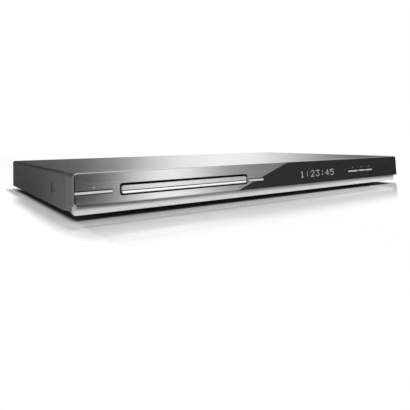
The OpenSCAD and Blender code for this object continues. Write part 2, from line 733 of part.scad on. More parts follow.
module front_bezel() {
  color([0.8, 0.8, 0.81]) from_front() difference() {
    union() {
      difference() {
        union() {
          bezel_outline_block(bezel_set_back, chassis_front - case_gap, bezel_bottom);
          bezel_outline_block(bezel_set_back, return_depth, foot_height + cover_skirt_up);
          intersection() {
            bezel_outline_block(rim_set_back, bezel_set_back + 1, bezel_bottom);
            box(-hw - 1, hw + 1, rim_set_back, bezel_set_back + 1, panel_low, height + 1);
          }
        }
        // inside of the returns
        box(-return_in, return_in, wall_back, return_depth + 1, bezel_bottom + return_wall,
            height - return_wall);
        box(-return_in, return_in, chassis_front - case_gap, return_depth + 1, 0, foot_height + 9);
        // seat of the two front panels
        along_y(-1, bezel_set_back,
                rounded(panel_left - 0.1, panel_right + 0.1, panel_low - 2, panel_high + 0.1,
                        0.1, 0.1, corner_right - rim / 2, corner_left - rim / 2));
      }
      // ledge under the cover's front edge
      box(-return_in + 2, return_in - 2, return_depth - 3, return_depth + 3,
          height - return_wall, height - sheet - case_gap);
      // posts of the front board and the key board
      for (x = front_boss_xs) rod_y(2.6, wall_back - 1, front_board_y, x, front_boss_z);
      for (s = [-1, 1]) rod_y(2, wall_back - 1, front_board_y, power_stem_x, key_height + s * 8);
    }
    mouth_cut(0, wall_back + 1);
    for (p = key_stems) rod_y(stem_r + panel_gap, 0, wall_back + 1, p[0], p[1]);
    box(tube_from + window_in, tube_from + tube_long - window_in, 0, wall_back + 1,
        tube_low + window_in - 1, tube_low + tube_tall - window_in + 1);
    for (x = front_boss_xs)
      rod_y(1.2 + fit, front_board_y - 5, front_board_y + 1, x, front_boss_z);
    for (s = [-1, 1])
      rod_y(1.2 + fit, front_board_y - 5, front_board_y + 1, power_stem_x, key_height + s * 8);
  }
}

function panel_face(z) = -panel_lean * (panel_high - z) / (panel_high - panel_low);

// the leaning slab that both front panels are cut from
module panel_slab(x0, x1) {
  along_x(x0, x1, [[bezel_set_back, panel_low], [bezel_set_back, panel_high],
                   [0, panel_high], [-panel_lean, panel_low]]);
}

module key_cut(x0, x1, z, tall) {
  box(x0 - panel_gap, x1 + panel_gap, -5, bezel_set_back + 1,
      z - tall / 2 - panel_gap, z + tall / 2 + panel_gap);
}

module panel_cuts() {
  mouth_cut(-5, bezel_set_back + 1);
  key_cut(panel_left - 2, panel_left + power_key_long, key_height, bar_tall);
  key_cut(open_key_x0, open_key_x0 + open_key_long, open_key_z, bar_tall);
  key_cut(small_keys_from, small_keys_from + key_a_long, key_height, small_key_tall);
  key_cut(key_b_from, key_b_from + key_b_long, key_height, small_key_tall);
  key_cut(key_c_from, key_c_from + key_c_long, key_height, small_key_tall);
}

module brushed_fascia() {
  d0 = mouth_r - diagonal_before;
  color([0.7, 0.71, 0.72]) from_front() difference() {
    intersection() {
      panel_slab(panel_left, d0 + diagonal_run + 1);
      along_y(-5, bezel_set_back, concat(
        arc(panel_left + corner_left, panel_low + corner_left, corner_left, 180, 270, 6), [[d0, panel_low], [d0 + diagonal_run, panel_high]],
        arc(panel_left + corner_left - rim / 2, panel_high - corner_left + rim / 2,
            corner_left - rim / 2, 90, 180, 6)));
    }
    panel_cuts();
  }
}

module display_lens() {
  d0 = mouth_r - diagonal_before + 0.1;
  color([0.04, 0.04, 0.05]) from_front() difference() {
    intersection() {
      panel_slab(d0 - 1, panel_right);
      along_y(-5, bezel_set_back, concat(
        [[d0, panel_low]], arc(panel_right - 1, panel_low + 1, 1, 270, 360, 6),
        arc(panel_right - corner_right + rim / 2, panel_high - corner_right + rim / 2,
            corner_right - rim / 2, 0, 90, 6),
        [[d0 + diagonal_run, panel_high]]));
    }
    panel_cuts();
  }
}

// ---- keys ----

module bar_key(x0, x1, z, tall, stem_x) {
  face = panel_face(z) - key_proud;
  along_y(face, bezel_set_back - 0.9, rounded(x0, x1, z - tall / 2, z + tall / 2, 0.5, 0.5, 0.5, 0.5));
  rod_y(stem_r, 0, stem_end, stem_x, z);
}

module power_key() {
  color([0.85, 0.85, 0.86]) from_front()
    bar_key(panel_left + panel_gap + 0.1, panel_left + power_key_long, key_height, bar_tall, power_stem_x);
}

module open_close_key() {
  color([0.85, 0.85, 0.86]) from_front()
    bar_key(open_key_x0, open_key_x0 + open_key_long, open_key_z, bar_tall, open_stem_x);
}

module key_a() {
  color([0.85, 0.85, 0.86]) from_front()
    bar_key(small_keys_from, small_keys_from + key_a_long, key_height, small_key_tall, key_stems[2][0]);
}

module key_b() {
  color([0.85, 0.85, 0.86]) from_front()
    bar_key(key_b_from, key_b_from + key_b_long, key_height, small_key_tall, key_stems[3][0]);
}

module key_c() {
  color([0.85, 0.85, 0.86]) from_front()
    bar_key(key_c_from, key_c_from + key_c_long, key_height, small_key_tall, key_stems[4][0]);
}

// ---- feet and screws ----

module feet() {
  color([0.12, 0.12, 0.13]) from_front() for (x = foot_xs, y = foot_ys) translate([x, y, 0])
    difference() {
      translate([0, 0, pad_thick - pad_in])
        cylinder(r1 = foot_r, r2 = foot_top_r, h = foot_height - pad_thick + pad_in);
      translate([0, 0, -1]) cylinder(r = pad_r + fit, h = pad_thick + 1);
    }
}

module foot_pads() {
  color([0.05, 0.05, 0.05]) from_front() for (x = foot_xs, y = foot_ys)
    rod_z(pad_r, 0, pad_thick, x, y);
}

module cover_screws() {
  color([0.5, 0.5, 0.52]) from_front() for (s = [-1, 1])
    translate([s * dimple_floor, cover_screw_y, cover_screw_z]) rotate([0, s * 90, 0])
      cross_screw(screw_head_r, screw_head, screw_shank_r, screw_long);
}

module rear_screws() {
  color([0.15, 0.15, 0.16]) from_front() for (p = concat(rear_screw_low, rear_screw_high))
    translate([p[0], depth, p[1]]) rotate([-90, 0, 0])
      cross_screw(small_head_r, small_head, screw_shank_r, screw_long);
}

module board_screws() {
  color([0.6, 0.6, 0.62]) from_front() {
    for (p = concat(main_holes, power_holes)) translate([p[0], p[1], board_top])
      cross_screw(small_head_r, small_head, 1.2, board_thick + 2);
    for (x = front_boss_xs) translate([x, front_board_y + board_thick, front_boss_z]) rotate([-90, 0, 0])
      cross_screw(small_head_r, small_head, 1.2, board_thick + 3);
    for (s = [-1, 1])
      translate([power_stem_x, front_board_y + board_thick, key_height + s * 8]) rotate([-90, 0, 0])
        cross_screw(small_head_r - 0.4, small_head, 1.2, board_thick + 3);
  }
}

module loader_screws() {
  color([0.6, 0.6, 0.62]) from_front() for (p = ear_holes) translate([p[0], p[1], ear_low + ear_thick])
    cross_screw(small_head_r, small_head, 1.2, ear_thick + 1.5);
}

// ---- rear ----

module jack_block() {
  color([0.08, 0.08, 0.09]) from_front() difference() {
    box(jack_from - 7, jack_from + 3 * jack_pitch + 7, lip_back - jack_block_deep, lip_back,
        board_top, jack_low + jack_pitch + barrel_r + 0.4);
    for (p = jacks) rod_y(barrel_r - barrel_wall, lip_back - jack_block_deep + 2, depth + 1, p[0], p[1]);
  }
}

module jack_shells() {
  color([0.85, 0.8, 0.6]) from_front() for (p = jacks) difference() {
    union() {
      rod_y(collar_r, lip_back, depth + collar_out, p[0], p[1]);
      rod_y(barrel_r, lip_back, depth + barrel_out, p[0], p[1]);
    }
    rod_y(barrel_r - barrel_wall, lip_back - 1, depth + barrel_out + 1, p[0], p[1]);
  }
}

module jack_inserts() {
  color([0.9, 0.9, 0.88]) from_front() for (p = jacks) difference() {
    rod_y(barrel_r - barrel_wall - 0.02, lip_back - jack_block_deep + 2, depth + barrel_out - 0.4, p[0], p[1]);
    rod_y(jack_bore_r, depth + barrel_out - 0.4 - jack_bore_deep, depth + barrel_out + 1, p[0], p[1]);
  }
}

module mains_inlet() {
  color([0.07, 0.07, 0.08]) from_front() difference() {
    box(inlet_x - inlet_wide / 2, inlet_x + inlet_wide / 2, inlet_back - inlet_long, inlet_back,
        board_top, board_top + inlet_tall);
    for (s = [-1, 1]) {
      rod_y(cavity_tall / 2, inlet_back - cavity_deep, inlet_back + 1,
            inlet_x + s * (cavity_wide - cavity_tall) / 2, inlet_z);
      rod_y(inlet_root_r + 0.02, inlet_back - inlet_long + 2, inlet_back,
            inlet_x + s * inlet_pin_pitch / 2, inlet_z);
    }
    box(inlet_x - (cavity_wide - cavity_tall) / 2, inlet_x + (cavity_wide - cavity_tall) / 2,
        inlet_back - cavity_deep, inlet_back + 1, inlet_z - cavity_tall / 2, inlet_z + cavity_tall / 2);
  }
}

module mains_pins() {
  color([0.85, 0.86, 0.88]) from_front() for (s = [-1, 1])
    translate([inlet_x + s * inlet_pin_pitch / 2, inlet_back, inlet_z]) {
      rod_y(inlet_root_r, 2 - inlet_long, -cavity_deep, 0, 0);
      rod_y(inlet_pin_r, 2 - inlet_long, -inlet_pin_in, 0, 0);
    }
}

// ---- boards ----

module board(x0, x1, deep, holes) {
  from_front() difference() {
    box(x0, x1, board_back - deep, board_back, board_low, board_top);
    for (p = holes) rod_z(1.2 + fit, board_low - 1, board_top + 1, p[0], p[1]);
  }
}

module main_board() {
  color([0.1, 0.35, 0.18]) board(main_from, main_to, main_deep, main_holes);
}

module power_board() {
  color([0.62, 0.5, 0.28]) board(power_from, power_to, power_deep, power_holes);
}

module mains_transformer() {
  x = power_from + transformer_at;
  y = board_back - tall_row;
  w = transformer_half;
  color([0.75, 0.68, 0.3]) from_front() {
    translate([x, y, board_top]) {
      box(-w * 0.86, w * 0.86, -w * 0.64, w * 0.64, 0, w * 0.2);
      box(-w, w, -w * 0.78, w * 0.78, w * 0.2, transformer_tall);
      box(-w * 0.64, w * 0.64, -w, w, w * 0.36, transformer_tall - w * 0.14);
    }
  }
}

module capacitor(r, tall) {
  rotate_extrude() polygon([[0, 0], [r - 0.4, 0], [r, 0.4], [r, 1.4], [r - 0.5, 1.8], [r, 2.2],
                            [r, tall - 0.4], [r - 0.4, tall], [0, tall]]);
}

module capacitors() {
  color([0.12, 0.12, 0.2]) from_front() {
    translate([power_from + cap_at, board_back - cap_row, board_top]) capacitor(8, cap_tall);
    for (i = [0:3])
      translate([power_from + small_cap_at + i * small_cap_pitch, board_back - small_cap_row, board_top])
        capacitor(4, cap_tall * 0.6);
    for (i = [0:2])
      translate([main_from + signal_cap_at + i * signal_cap_pitch, board_back - signal_cap_row, board_top])
        capacitor(3, cap_tall * 0.4);
  }
}

module heat_sink() {
  x = power_from + sink_at;
  y = board_back - tall_row;
  color([0.75, 0.76, 0.78]) from_front() {
    box(x - 12, x + 12, y, y + 2, board_top, board_top + 19);
    for (i = [0:5]) box(x - 12 + i * 4.5, x - 10.5 + i * 4.5, y + 1, y + 9, board_top + 3, board_top + 19);
  }
}

module mains_fuse() {
  x = power_from + cap_at;
  y = board_back - fuse_row;
  color([0.8, 0.82, 0.85]) from_front() {
    rod_y(2.5, y - 10, y + 10, x, board_top + 2.9);
    for (s = [-1, 1]) rod_y(2.9, y + s * 8 - 2.5, y + s * 8 + 2.5, x, board_top + 2.9);
  }
}

module decoder_chip() {
  x = (main_from + main_to) / 2;
  y = board_back - main_deep / 2;
  color([0.1, 0.1, 0.11]) from_front() {
    box(x - 13, x + 13, y - 13, y + 13, board_top, board_top + 1.4);
    box(x - 10, x + 10, y - 10, y + 10, board_top + 1.4, board_top + 2.2);
  }
}

module memory_chips() {
  x = (main_from + main_to) / 2 + 20;
  y = board_back - main_deep / 2;
  color([0.1, 0.1, 0.11]) from_front() for (s = [-1, 1])
    box(x, x + 20, y + s * 10 - 5, y + s * 10 + 5, board_top, board_top + 1.2);
}

// connectors: front board, main board front and left, loader, power board to main board
module board_connectors() {
  rear_top = frame_low + rear_member_thick;
  color([0.88, 0.87, 0.8]) from_front() {
    box(ribbon_x - 2, ribbon_x + ribbon_wide + 2, front_board_y + board_thick,
        front_board_y + board_thick + 4.5, front_low + ribbon_up - 3, front_low + ribbon_up + 3);
    box(ribbon_x - 2, ribbon_x + ribbon_wide + 2, board_back - main_deep + 1, board_back - main_deep + 6,
        board_top, board_top + 5);
    box(main_from + 0.5, main_from + 5.5, link_y - 6, link_y + 6, board_top, board_top + 5);
    box(loader_x + 46, loader_x + 58, link_y - 6, link_y + 6, rear_top, rear_top + 5.5);
    for (x = [main_to - 8, power_from + 2])
      box(x, x + 6, board_back - power_link_row, board_back - power_link_row + 16, board_top, board_top + 6);
  }
}

module front_board() {
  color([0.1, 0.35, 0.18]) from_front() difference() {
    box(front_from, front_to, front_board_y, front_board_y + board_thick, front_low, front_low + front_tall);
    for (x = front_boss_xs)
      rod_y(1.2 + fit, front_board_y - 1, front_board_y + board_thick + 1, x, front_boss_z);
  }
}

module power_key_board() {
  color([0.1, 0.35, 0.18]) from_front() difference() {
    box(power_stem_x - key_board_half, power_stem_x + key_board_half, front_board_y,
        front_board_y + board_thick, key_height - key_board_half, key_height + key_board_half);
    for (s = [-1, 1])
      rod_y(1.2 + fit, front_board_y - 1, front_board_y + board_thick + 1, power_stem_x, key_height + s * 8);
  }
}

module display_tube() {
  color([0.25, 0.3, 0.3]) from_front() {
    box(tube_from, tube_from + tube_long, front_board_y - tube_deep, front_board_y,
        tube_low, tube_low + tube_tall);
    rod_x(1.6, tube_from + tube_long - 0.5, tube_from + tube_long + 4,
          front_board_y - tube_deep / 2, tube_low + tube_tall / 2);
  }
}

module tact_switches() {
  color([0.2, 0.2, 0.21]) from_front() for (p = key_stems) {
    box(p[0] - switch_side / 2, p[0] + switch_side / 2, switch_face, front_board_y,
        p[1] - switch_side / 2, p[1] + switch_side / 2);
    rod_y(switch_button_r, button_face, switch_face + 0.2, p[0], p[1]);
  }
}

function unit_normal(a, b) = [a[1] - b[1], b[0] - a[0]] / norm(b - a);

// a flat strip of thickness t along a bent path
function strip(p, t) = concat(p, [for (i = [len(p) - 1:-1:0])
  let (a = unit_normal(p[max(i - 1, 0)], p[max(i, 1)]), j = min(i, len(p) - 2),
       b = unit_normal(p[j], p[j + 1]))
  p[i] + (a + b) * t / (1 + a * b)]);

module front_ribbon() {
  y0 = front_board_y + board_thick + 4.5;
  y1 = board_back - main_deep + 1;
  z0 = front_low + ribbon_up;
  z1 = floor_z + 0.3;
  z2 = board_top + 2.5;
  color([0.8, 0.8, 0.78]) from_front()
    along_x(ribbon_x, ribbon_x + ribbon_wide,
            strip([[y0, z0], [y0 + 5, z0], [y0 + 9, z1], [y1 - 9, z1], [y1 - 4, z2], [y1, z2]], 0.5));
}

module loader_ribbon() {
  z0 = frame_low + rear_member_thick + 3.7;
  z1 = board_top + 2.5;
  color([0.8, 0.8, 0.78]) from_front()
    along_y(link_y - 4.5, link_y + 4.5,
            strip([[loader_x + 58, z0], [main_from - 10, z0], [main_from - 4, z1], [main_from + 0.5, z1]], 0.5));
}

// ---- loader ----

module side_box(s, x0, x1, y0, y1, z0, z1) {
  box(min(s * x0, s * x1), max(s * x0, s * x1), y0, y1, z0, z1);
}

module loader_frame() {
  span = wall_in + 1;
  bracket_from = tail_half + 2;
  bracket_to = tail_half + 6;
  runner_top = tray_low - tray_run_gap;
  color([0.13, 0.13, 0.14]) in_loader() difference() {
    union() {
      for (s = [-1, 1]) {
        side_box(s, wall_in, wall_out, frame_front, frame_back, frame_low, frame_top);
        side_box(s, wall_in - runner_wide, span, frame_front, frame_back,
                 runner_top - runner_thick, runner_top);
        for (y = lug_y)
          side_box(s, wall_in - runner_wide, span, y, y + lug_long,
                   tray_top + tray_run_gap, frame_top - 0.5);
        for (y = ear_y)
          side_box(s, wall_out - 0.5, wall_out + ear_wide, y - ear_long / 2, y + ear_long / 2,
                   ear_low, ear_low + ear_thick);
        side_box(s, bracket_from, bracket_to, pivot_y - grommet_r - 1.8, pivot_y + grommet_r + 1.8,
                 frame_low, pivot_z + grommet_r + 1.6);
      }
      // front wall, deck, wall behind the deck, slider member with its two guides, rear member
      box(-span, span, frame_front, frame_front + 1.6, frame_low, runner_top - 1);
      box(-span, span, frame_front, deck_back, deck_top - deck_thick, deck_top);
      box(-span, span, deck_back, deck_back + 2, frame_low, deck_top);
      box(-span, span, deck_back, cam_y + cam_thick + 2, frame_low, cam_member_top);
      box(-span, span, cam_y - 1.8, cam_y - 0.3, frame_low, cam_member_top + 0.9);
      box(-span, span, cam_y + cam_thick + 0.3, cam_y + cam_thick + 1.8, frame_low, cam_member_top + 0.9);
      box(-span, span, frame_back - rear_member, frame_back, frame_low, frame_low + rear_member_thick);
      rod_z(motor_r + 0.15 + cup_wall, deck_top - deck_thick, motor_top + cup_top, motor_x, motor_y);
      rod_z(drive_pin_r, deck_top - 0.5, gear_top, gear_x, gear_y);
      rod_z(pulley_pin_r, deck_top - 0.5, gear_top, pulley_x, gear_y);
    }
    rod_z(motor_r + 0.15, deck_top - deck_thick - 1, motor_top, motor_x, motor_y);
    rod_z(shaft_r + 1, motor_top - 1, motor_top + cup_top + 1, motor_x, motor_y);
    for (x = ear_xs, y = ear_y) rod_z(1.2 + fit, ear_low - 1, ear_low + ear_thick + 1, x, y);
    for (s = [-1, 1])
      rod_x(grommet_r + 0.02, min(s * (bracket_from - 1), s * (bracket_to + 1)),
            max(s * (bracket_from - 1), s * (bracket_to + 1)), pivot_y, pivot_z);
    box(wall_in - 1, wall_out + 1, link_y - 6, link_y + 6, frame_low + rear_member_thick + 2,
        runner_top - runner_thick - 1);
  }
}

module pivot_grommets() {
  color([0.1, 0.1, 0.1]) in_loader() for (s = [-1, 1]) difference() {
    rod_x(grommet_r, min(s * (tail_half + 2), s * (tail_half + 6)),
          max(s * (tail_half + 2), s * (tail_half + 6)), pivot_y, pivot_z);
    rod_x(pivot_r + fit, min(s * (tail_half + 1), s * (tail_half + 7)),
          max(s * (tail_half + 1), s * (tail_half + 7)), pivot_y, pivot_z);
  }
}

module tray() {
  th = tray_wide / 2;
  floor_low = tray_top - seat_deep;
  color([0.16, 0.16, 0.17]) in_loader() difference() {
    union() {
      box(-th, th, tray_front, tray_back, web_low, tray_top);
      for (s = [-1, 1])
        side_box(s, th - skirt_wall, th, tray_front, tray_back, tray_low, web_low + 0.5);
      box(-th, th, tray_front, tray_front + 2, tray_low, web_low + 0.5);
      translate([rack_x, gear_y, tray_low]) linear_extrude(tray_skirt + 0.3)
        polygon(rack_outline(gear_module, -2, ceil((tray_travel + 5) / PI / gear_module), rack_back));
    }
    rod_z(seat_r, floor_low, tray_top + 1, 0, spindle_y);
    rod_z(small_seat_r, floor_low - small_seat_deep, tray_top + 1, 0, spindle_y);
    rod_z(slot_half, web_low - 1, tray_top + 1, 0, spindle_y);
    box(-slot_half, slot_half, spindle_y, spindle_y + slot_back, web_low - 1, tray_top + 1);
    for (s = [-1, 1]) {
      // finger notches at the front corners of the seat and openings behind it
      side_box(s, seat_r * 0.5, th - 8, spindle_y - seat_r * 0.8 - 6, spindle_y - seat_r * 0.6,
               floor_low, tray_top + 1);
      side_box(s, slot_half + 8, rack_x - 6, tray_back - 24, tray_back - 8, web_low - 1, tray_top + 1);
    }
    box(-slot_half, slot_half, tray_back - 24, tray_back - 8, floor_low, tray_top + 1);
  }
}

module tray_door() {
  z0 = mouth_low + door_up;
  z1 = z0 + door_tall;
  groove_top = z0 + trim_tall + door_groove;
  y1 = panel_face(z1) - 0.1;
  y0 = panel_face(z0) - 0.1;
  c = mouth_l + mouth_wide / 2;
  color([0.8, 0.81, 0.82]) from_front() intersection() {
    along_x(c - door_wide / 2, c + door_wide / 2,
            [[tray_front, z0], [tray_front, z1], [y1, z1], [panel_face(groove_top) - 0.1, groove_top],
             [panel_face(groove_top) - 0.1 + trim_deep, groove_top], [y0 + trim_deep, z0]]);
    along_y(-5, tray_front + 1, rounded(c - door_wide / 2, c + door_wide / 2, z0 - 0.1, z1,
                                        door_corner, door_corner, door_corner, door_corner));
  }
}

module tray_door_trim() {
  z0 = mouth_low + door_up;
  trim_top = z0 + trim_tall;
  y0 = panel_face(z0) - 0.1;
  yt = panel_face(trim_top) - 0.1;
  c = mouth_l + mouth_wide / 2;
  color([0.9, 0.9, 0.92]) from_front() intersection() {
    along_x(c - door_wide / 2, c + door_wide / 2,
            [[y0 + trim_deep, z0], [yt + trim_deep, trim_top], [yt - 0.15, trim_top], [y0 - 0.15, z0]]);
    along_y(-5, tray_front + 1, rounded(c - door_wide / 2, c + door_wide / 2, z0 - 0.1, z0 + door_tall,
                                        door_corner, door_corner, door_corner, door_corner));
  }
}

module pulley(rim_r, groove_r, bore) {
  flange = (pulley_tall - belt_size) / 2 - 0.15;
  rotate_extrude() polygon([[bore, 0], [rim_r, 0], [rim_r, flange], [groove_r, flange + 0.1],
                            [groove_r, pulley_tall - flange - 0.1], [rim_r, pulley_tall - flange],
                            [rim_r, pulley_tall], [bore, pulley_tall]]);
}

module loading_motor() {
  color([0.7, 0.71, 0.73]) in_loader() translate([motor_x, motor_y, motor_low])
    rotate_extrude() polygon([[0, 0], [motor_r - 1.5, 0], [motor_r - 1.5, 0.8], [motor_r, 1.2],
                              [motor_r, motor_tall], [shaft_r + fit, motor_tall],
                              [shaft_r + fit, motor_tall - 4], [0, motor_tall - 4]]);
}

module motor_pulley() {
  color([0.85, 0.82, 0.6]) in_loader() translate([motor_x, motor_y, 0]) {
    translate([0, 0, motor_top - 3.5]) cylinder(r = shaft_r, h = gear_top - motor_top + 3.5);
    translate([0, 0, pulley_low]) pulley(small_pulley_r, small_groove_r, shaft_r * 0.5);
  }
}

// loop round two discs: radius r about each, with tangent straights
function loop(a, b, ra, rb) =
  let (d = b - a, l = norm(d), base = atan2(d[1], d[0]), t = acos((ra - rb) / l))
  concat(arc(a[0], a[1], ra, base + t, base + 360 - t, 24), arc(b[0], b[1], rb, base - t, base + t, 24));

module drive_belt() {
  a = [pulley_x, gear_y];
  b = [motor_x, motor_y];
  color([0.06, 0.06, 0.06]) in_loader()
    translate([0, 0, pulley_low + (pulley_tall - belt_size) / 2]) difference() {
      linear_extrude(belt_size)
        polygon(loop(a, b, pulley_groove_r + fit * 2 + belt_size, small_groove_r + fit * 2 + belt_size));
      translate([0, 0, -1]) linear_extrude(belt_size + 2)
        polygon(loop(a, b, pulley_groove_r + fit * 2, small_groove_r + fit * 2));
    }
}

module pulley_gear() {
  color([0.85, 0.82, 0.7]) in_loader() translate([pulley_x, gear_y, 0]) difference() {
    union() {
      translate([0, 0, wheel_low]) rotate([0, 0, 180 / pinion_teeth])
        gear(gear_module, pinion_teeth, pulley_low - wheel_low + 0.1);
      translate([0, 0, pulley_low]) pulley(pulley_r, pulley_groove_r, pulley_pin_r * 0.5);
    }
    translate([0, 0, wheel_low - 1]) cylinder(r = pulley_pin_r + fit, h = 10);
  }
}

module drive_gear() {
  color([0.88, 0.86, 0.78]) in_loader() translate([gear_x, gear_y, 0]) difference() {
    union() {
      translate([0, 0, wheel_low]) rotate([0, 0, big_teeth % 2 == 0 ? 0 : 180 / big_teeth])
        gear(gear_module, big_teeth, wheel_thick);
      translate([0, 0, wheel_top - 0.1]) gear(gear_module, rack_gear_teeth, gear_top - wheel_top + 0.1);
    }
    translate([0, 0, wheel_low - 1]) cylinder(r = drive_pin_r + fit, h = 10);
    for (a = [0:72:300]) rotate([0, 0, a + 18]) translate([rack_gear_r * 0.56, 0, wheel_low - 1])
      cylinder(r = 2, h = 10);
  }
}

// the slider moves towards -X to raise the traverse
module cam_slider() {
  tip = gear_module * (big_teeth / 2 + 1) + 0.3;
  run = norm([cam_travel, cam_drop]);
  back = cam_y + cam_thick;
  x_end = wall_in - 6;
  color([0.8, 0.8, 0.75]) in_loader() difference() {
    union() {
      box(-cam_pin_half - cam_slot_r - cam_margin, cam_pin_half + cam_travel + cam_slot_r + cam_margin,
          cam_y, back, cam_low, cam_top);
      box(cam_pin_half, x_end, cam_y, back, cam_low, wheel_top);
      box(gear_x + 10, x_end, gear_y + tip + 4, cam_y + 0.5, wheel_low, wheel_top);
      translate([gear_x + 13, gear_y + tip + gear_module, wheel_low]) rotate([0, 0, 90])
        linear_extrude(wheel_thick) polygon(rack_outline(gear_module, -4, 0, 4));
    }
    for (s = [-1, 1])
      translate([s * cam_pin_half, 0, cam_pin_z - cam_drop]) rotate([0, -atan2(cam_drop, cam_travel), 0]) {
        rod_y(cam_slot_r, cam_y - 1, back + 1, 0, 0);
        rod_y(cam_slot_r, cam_y - 1, back + 1, run, 0);
        box(0, run, cam_y - 1, back + 1, -cam_slot_r, cam_slot_r);
      }
  }
}

module traverse_frame() {
  seat_low = rod_z - rod_r - 1.2;
  motor_side = sled_motor_r + 0.1;
  color([0.17, 0.17, 0.18]) on_traverse() difference() {
    union() {
      box(-traverse_half, traverse_half, traverse_front, traverse_wide_end, traverse_low, traverse_top);
      box(-tail_half, tail_half, traverse_wide_end - 1, pivot_y + 3, traverse_low, traverse_top);
      for (s = [-1, 1]) {
        side_box(s, rod_half - 3.5, rod_half + 3.5, well_front - 6, well_front, seat_low, traverse_top);
        side_box(s, rod_half - 3.5, rod_half + 3.5, well_back, well_back + 5, seat_low, traverse_top);
        side_box(s, tail_half - 4, tail_half, pivot_y - 4, pivot_y + 3, pivot_z - pivot_r - 1, traverse_top);
        side_box(s, traverse_half - 1.5, traverse_half, traverse_front, traverse_wide_end,
                 traverse_low - 1.5, traverse_low + 0.5);
        rod_x(pivot_r, min(s * (tail_half - 1), s * (tail_half + 6.4)),
              max(s * (tail_half - 1), s * (tail_half + 6.4)), pivot_y, pivot_z);
        rod_y(cam_pin_r, cam_y - 1.2, traverse_front + 1, s * cam_pin_half, cam_pin_z);
      }
      box(screw_x - 3.5, screw_x + 3.5, well_front - 4.5, well_front, screw_z - 3, traverse_top);
    }
    box(-well_half, screw_x + motor_side, well_front, well_back, traverse_low - 5, traverse_top + 1);
    box(screw_x - motor_side, screw_x + motor_side, screw_back - 1, screw_back + sled_motor_long + 0.1,
        traverse_low - 5, traverse_top + 1);
    rod_z(spindle_r + 0.3, traverse_low - 3, traverse_top + 1, 0, spindle_y);
    for (s = [-1, 1]) rod_y(rod_r + 0.02, well_front - 5, well_back + 4, s * rod_half, rod_z);
    rod_y(screw_r + fit, well_front - 5, well_front + 1, screw_x, screw_z);
  }
}

module spindle_motor() {
  color([0.7, 0.71, 0.73]) on_traverse() difference() {
    union() {
      rod_z(spindle_r, spindle_low, spindle_low + spindle_tall, 0, spindle_y);
      box(-16, 16, spindle_y - 9, spindle_y + 9, traverse_low - 0.8, traverse_low);
    }
    rod_z(shaft_r + fit, spindle_low + 0.8, table_low + 1, 0, spindle_y);
  }
}

module turntable() {
  color([0.2, 0.2, 0.21]) on_traverse() translate([0, spindle_y, 0]) rotate_extrude()
    polygon([[0, spindle_low + 1.2], [shaft_r, spindle_low + 1.2], [shaft_r, table_low],
             [table_r * 0.6, table_low], [table_r * 0.6, table_low + 1.8], [table_r, table_low + 2.6],
             [table_r, table_top], [hub_r, table_top], [hub_r, table_top + hub_tall * 0.6],
             [hub_r - 1.2, table_top + hub_tall], [0, table_top + hub_tall]]);
}

module pickup() {
  y0 = pickup_front;
  y1 = pickup_front + pickup_long;
  color([0.3, 0.31, 0.33]) on_traverse() difference() {
    union() {
      box(-pickup_half, pickup_half, y0, y1, pickup_low, pickup_top);
      for (s = [-1, 1]) {
        rod_y(rod_r + 1.5, y0, y1, s * rod_half, rod_z);
        side_box(s, pickup_half - 1, rod_half, y0 + 2, y1 - 2, rod_z - 2, rod_z + 2);
      }
      box(-holder_half, holder_half, y0 + 1, y1 - 2.5, pickup_top - 0.5, pickup_top + 1.2);
      box(rod_half + rod_r + 0.5, screw_x + 3, y0 + 2, y0 + 8, screw_z - 3, screw_z + 3);
    }
    for (s = [-1, 1]) rod_y(rod_r + fit, y0 - 1, y1 + 1, s * rod_half, rod_z);
    rod_y(screw_r + fit, y0, y0 + 10, screw_x, screw_z);
    rod_z(lens_r + 0.4, lens_top - 4.3, pickup_top + 3, 0, lens_y);
  }
}

module pickup_lens() {
  color([0.35, 0.45, 0.7]) on_traverse() translate([0, lens_y, 0]) rotate_extrude()
    polygon([[0, lens_top - 3.5], [lens_r, lens_top - 3.5], [lens_r, lens_top - 0.6],
             [lens_r * 0.7, lens_top - 0.6], [lens_r * 0.6, lens_top - 0.25],
             [lens_r * 0.3, lens_top - 0.05], [0, lens_top]]);
}

module guide_rods() {
  color([0.82, 0.83, 0.85]) on_traverse() for (s = [-1, 1])
    rod_y(rod_r, well_front - 5, well_back + 4, s * rod_half, rod_z);
}

module sled_motor() {
  color([0.7, 0.71, 0.73]) on_traverse() difference() {
    rod_y(sled_motor_r, screw_back, screw_back + sled_motor_long, screw_x, screw_z);
    rod_y(screw_r + fit, screw_back - 1, screw_back + 3.5, screw_x, screw_z);
  }
}

module lead_screw() {
  color([0.82, 0.83, 0.85]) on_traverse()
    rod_y(screw_r, well_front - 4.4, screw_back + 3.2, screw_x, screw_z);
}

module clamp_bridge() {
  color([0.7, 0.71, 0.73]) in_loader() difference() {
    union() {
      box(-wall_out, wall_out, spindle_y - bridge_half, spindle_y + bridge_half, bridge_low, bridge_top);
      for (s = [-1, 1])
        box(-wall_in + 4, wall_in - 4, min(spindle_y + s * bridge_half, spindle_y + s * (bridge_half - 1)),
            max(spindle_y + s * bridge_half, spindle_y + s * (bridge_half - 1)), bridge_low, bridge_top + 2.5);
    }
    rod_z(clamp_neck_r + clamp_gap, bridge_low - 1, bridge_top + 1, 0, spindle_y);
  }
}

module clamp_puck() {
  top = clamp_high + clamp_flange;
  color([0.15, 0.15, 0.16]) in_loader() translate([0, spindle_y, 0]) rotate_extrude()
    polygon([[0, clamp_low + 2], [hub_r + 1.1, clamp_low + 2], [hub_r + 1.1, clamp_low],
             [clamp_low_r, clamp_low], [clamp_low_r, clamp_low + clamp_flange],
             [clamp_neck_r, clamp_low + clamp_flange], [clamp_neck_r, clamp_high],
             [clamp_top_r, clamp_high], [clamp_top_r, top], [magnet_r + 0.05, top],
             [magnet_r + 0.05, top - magnet_thick], [0, top - magnet_thick]]);
}

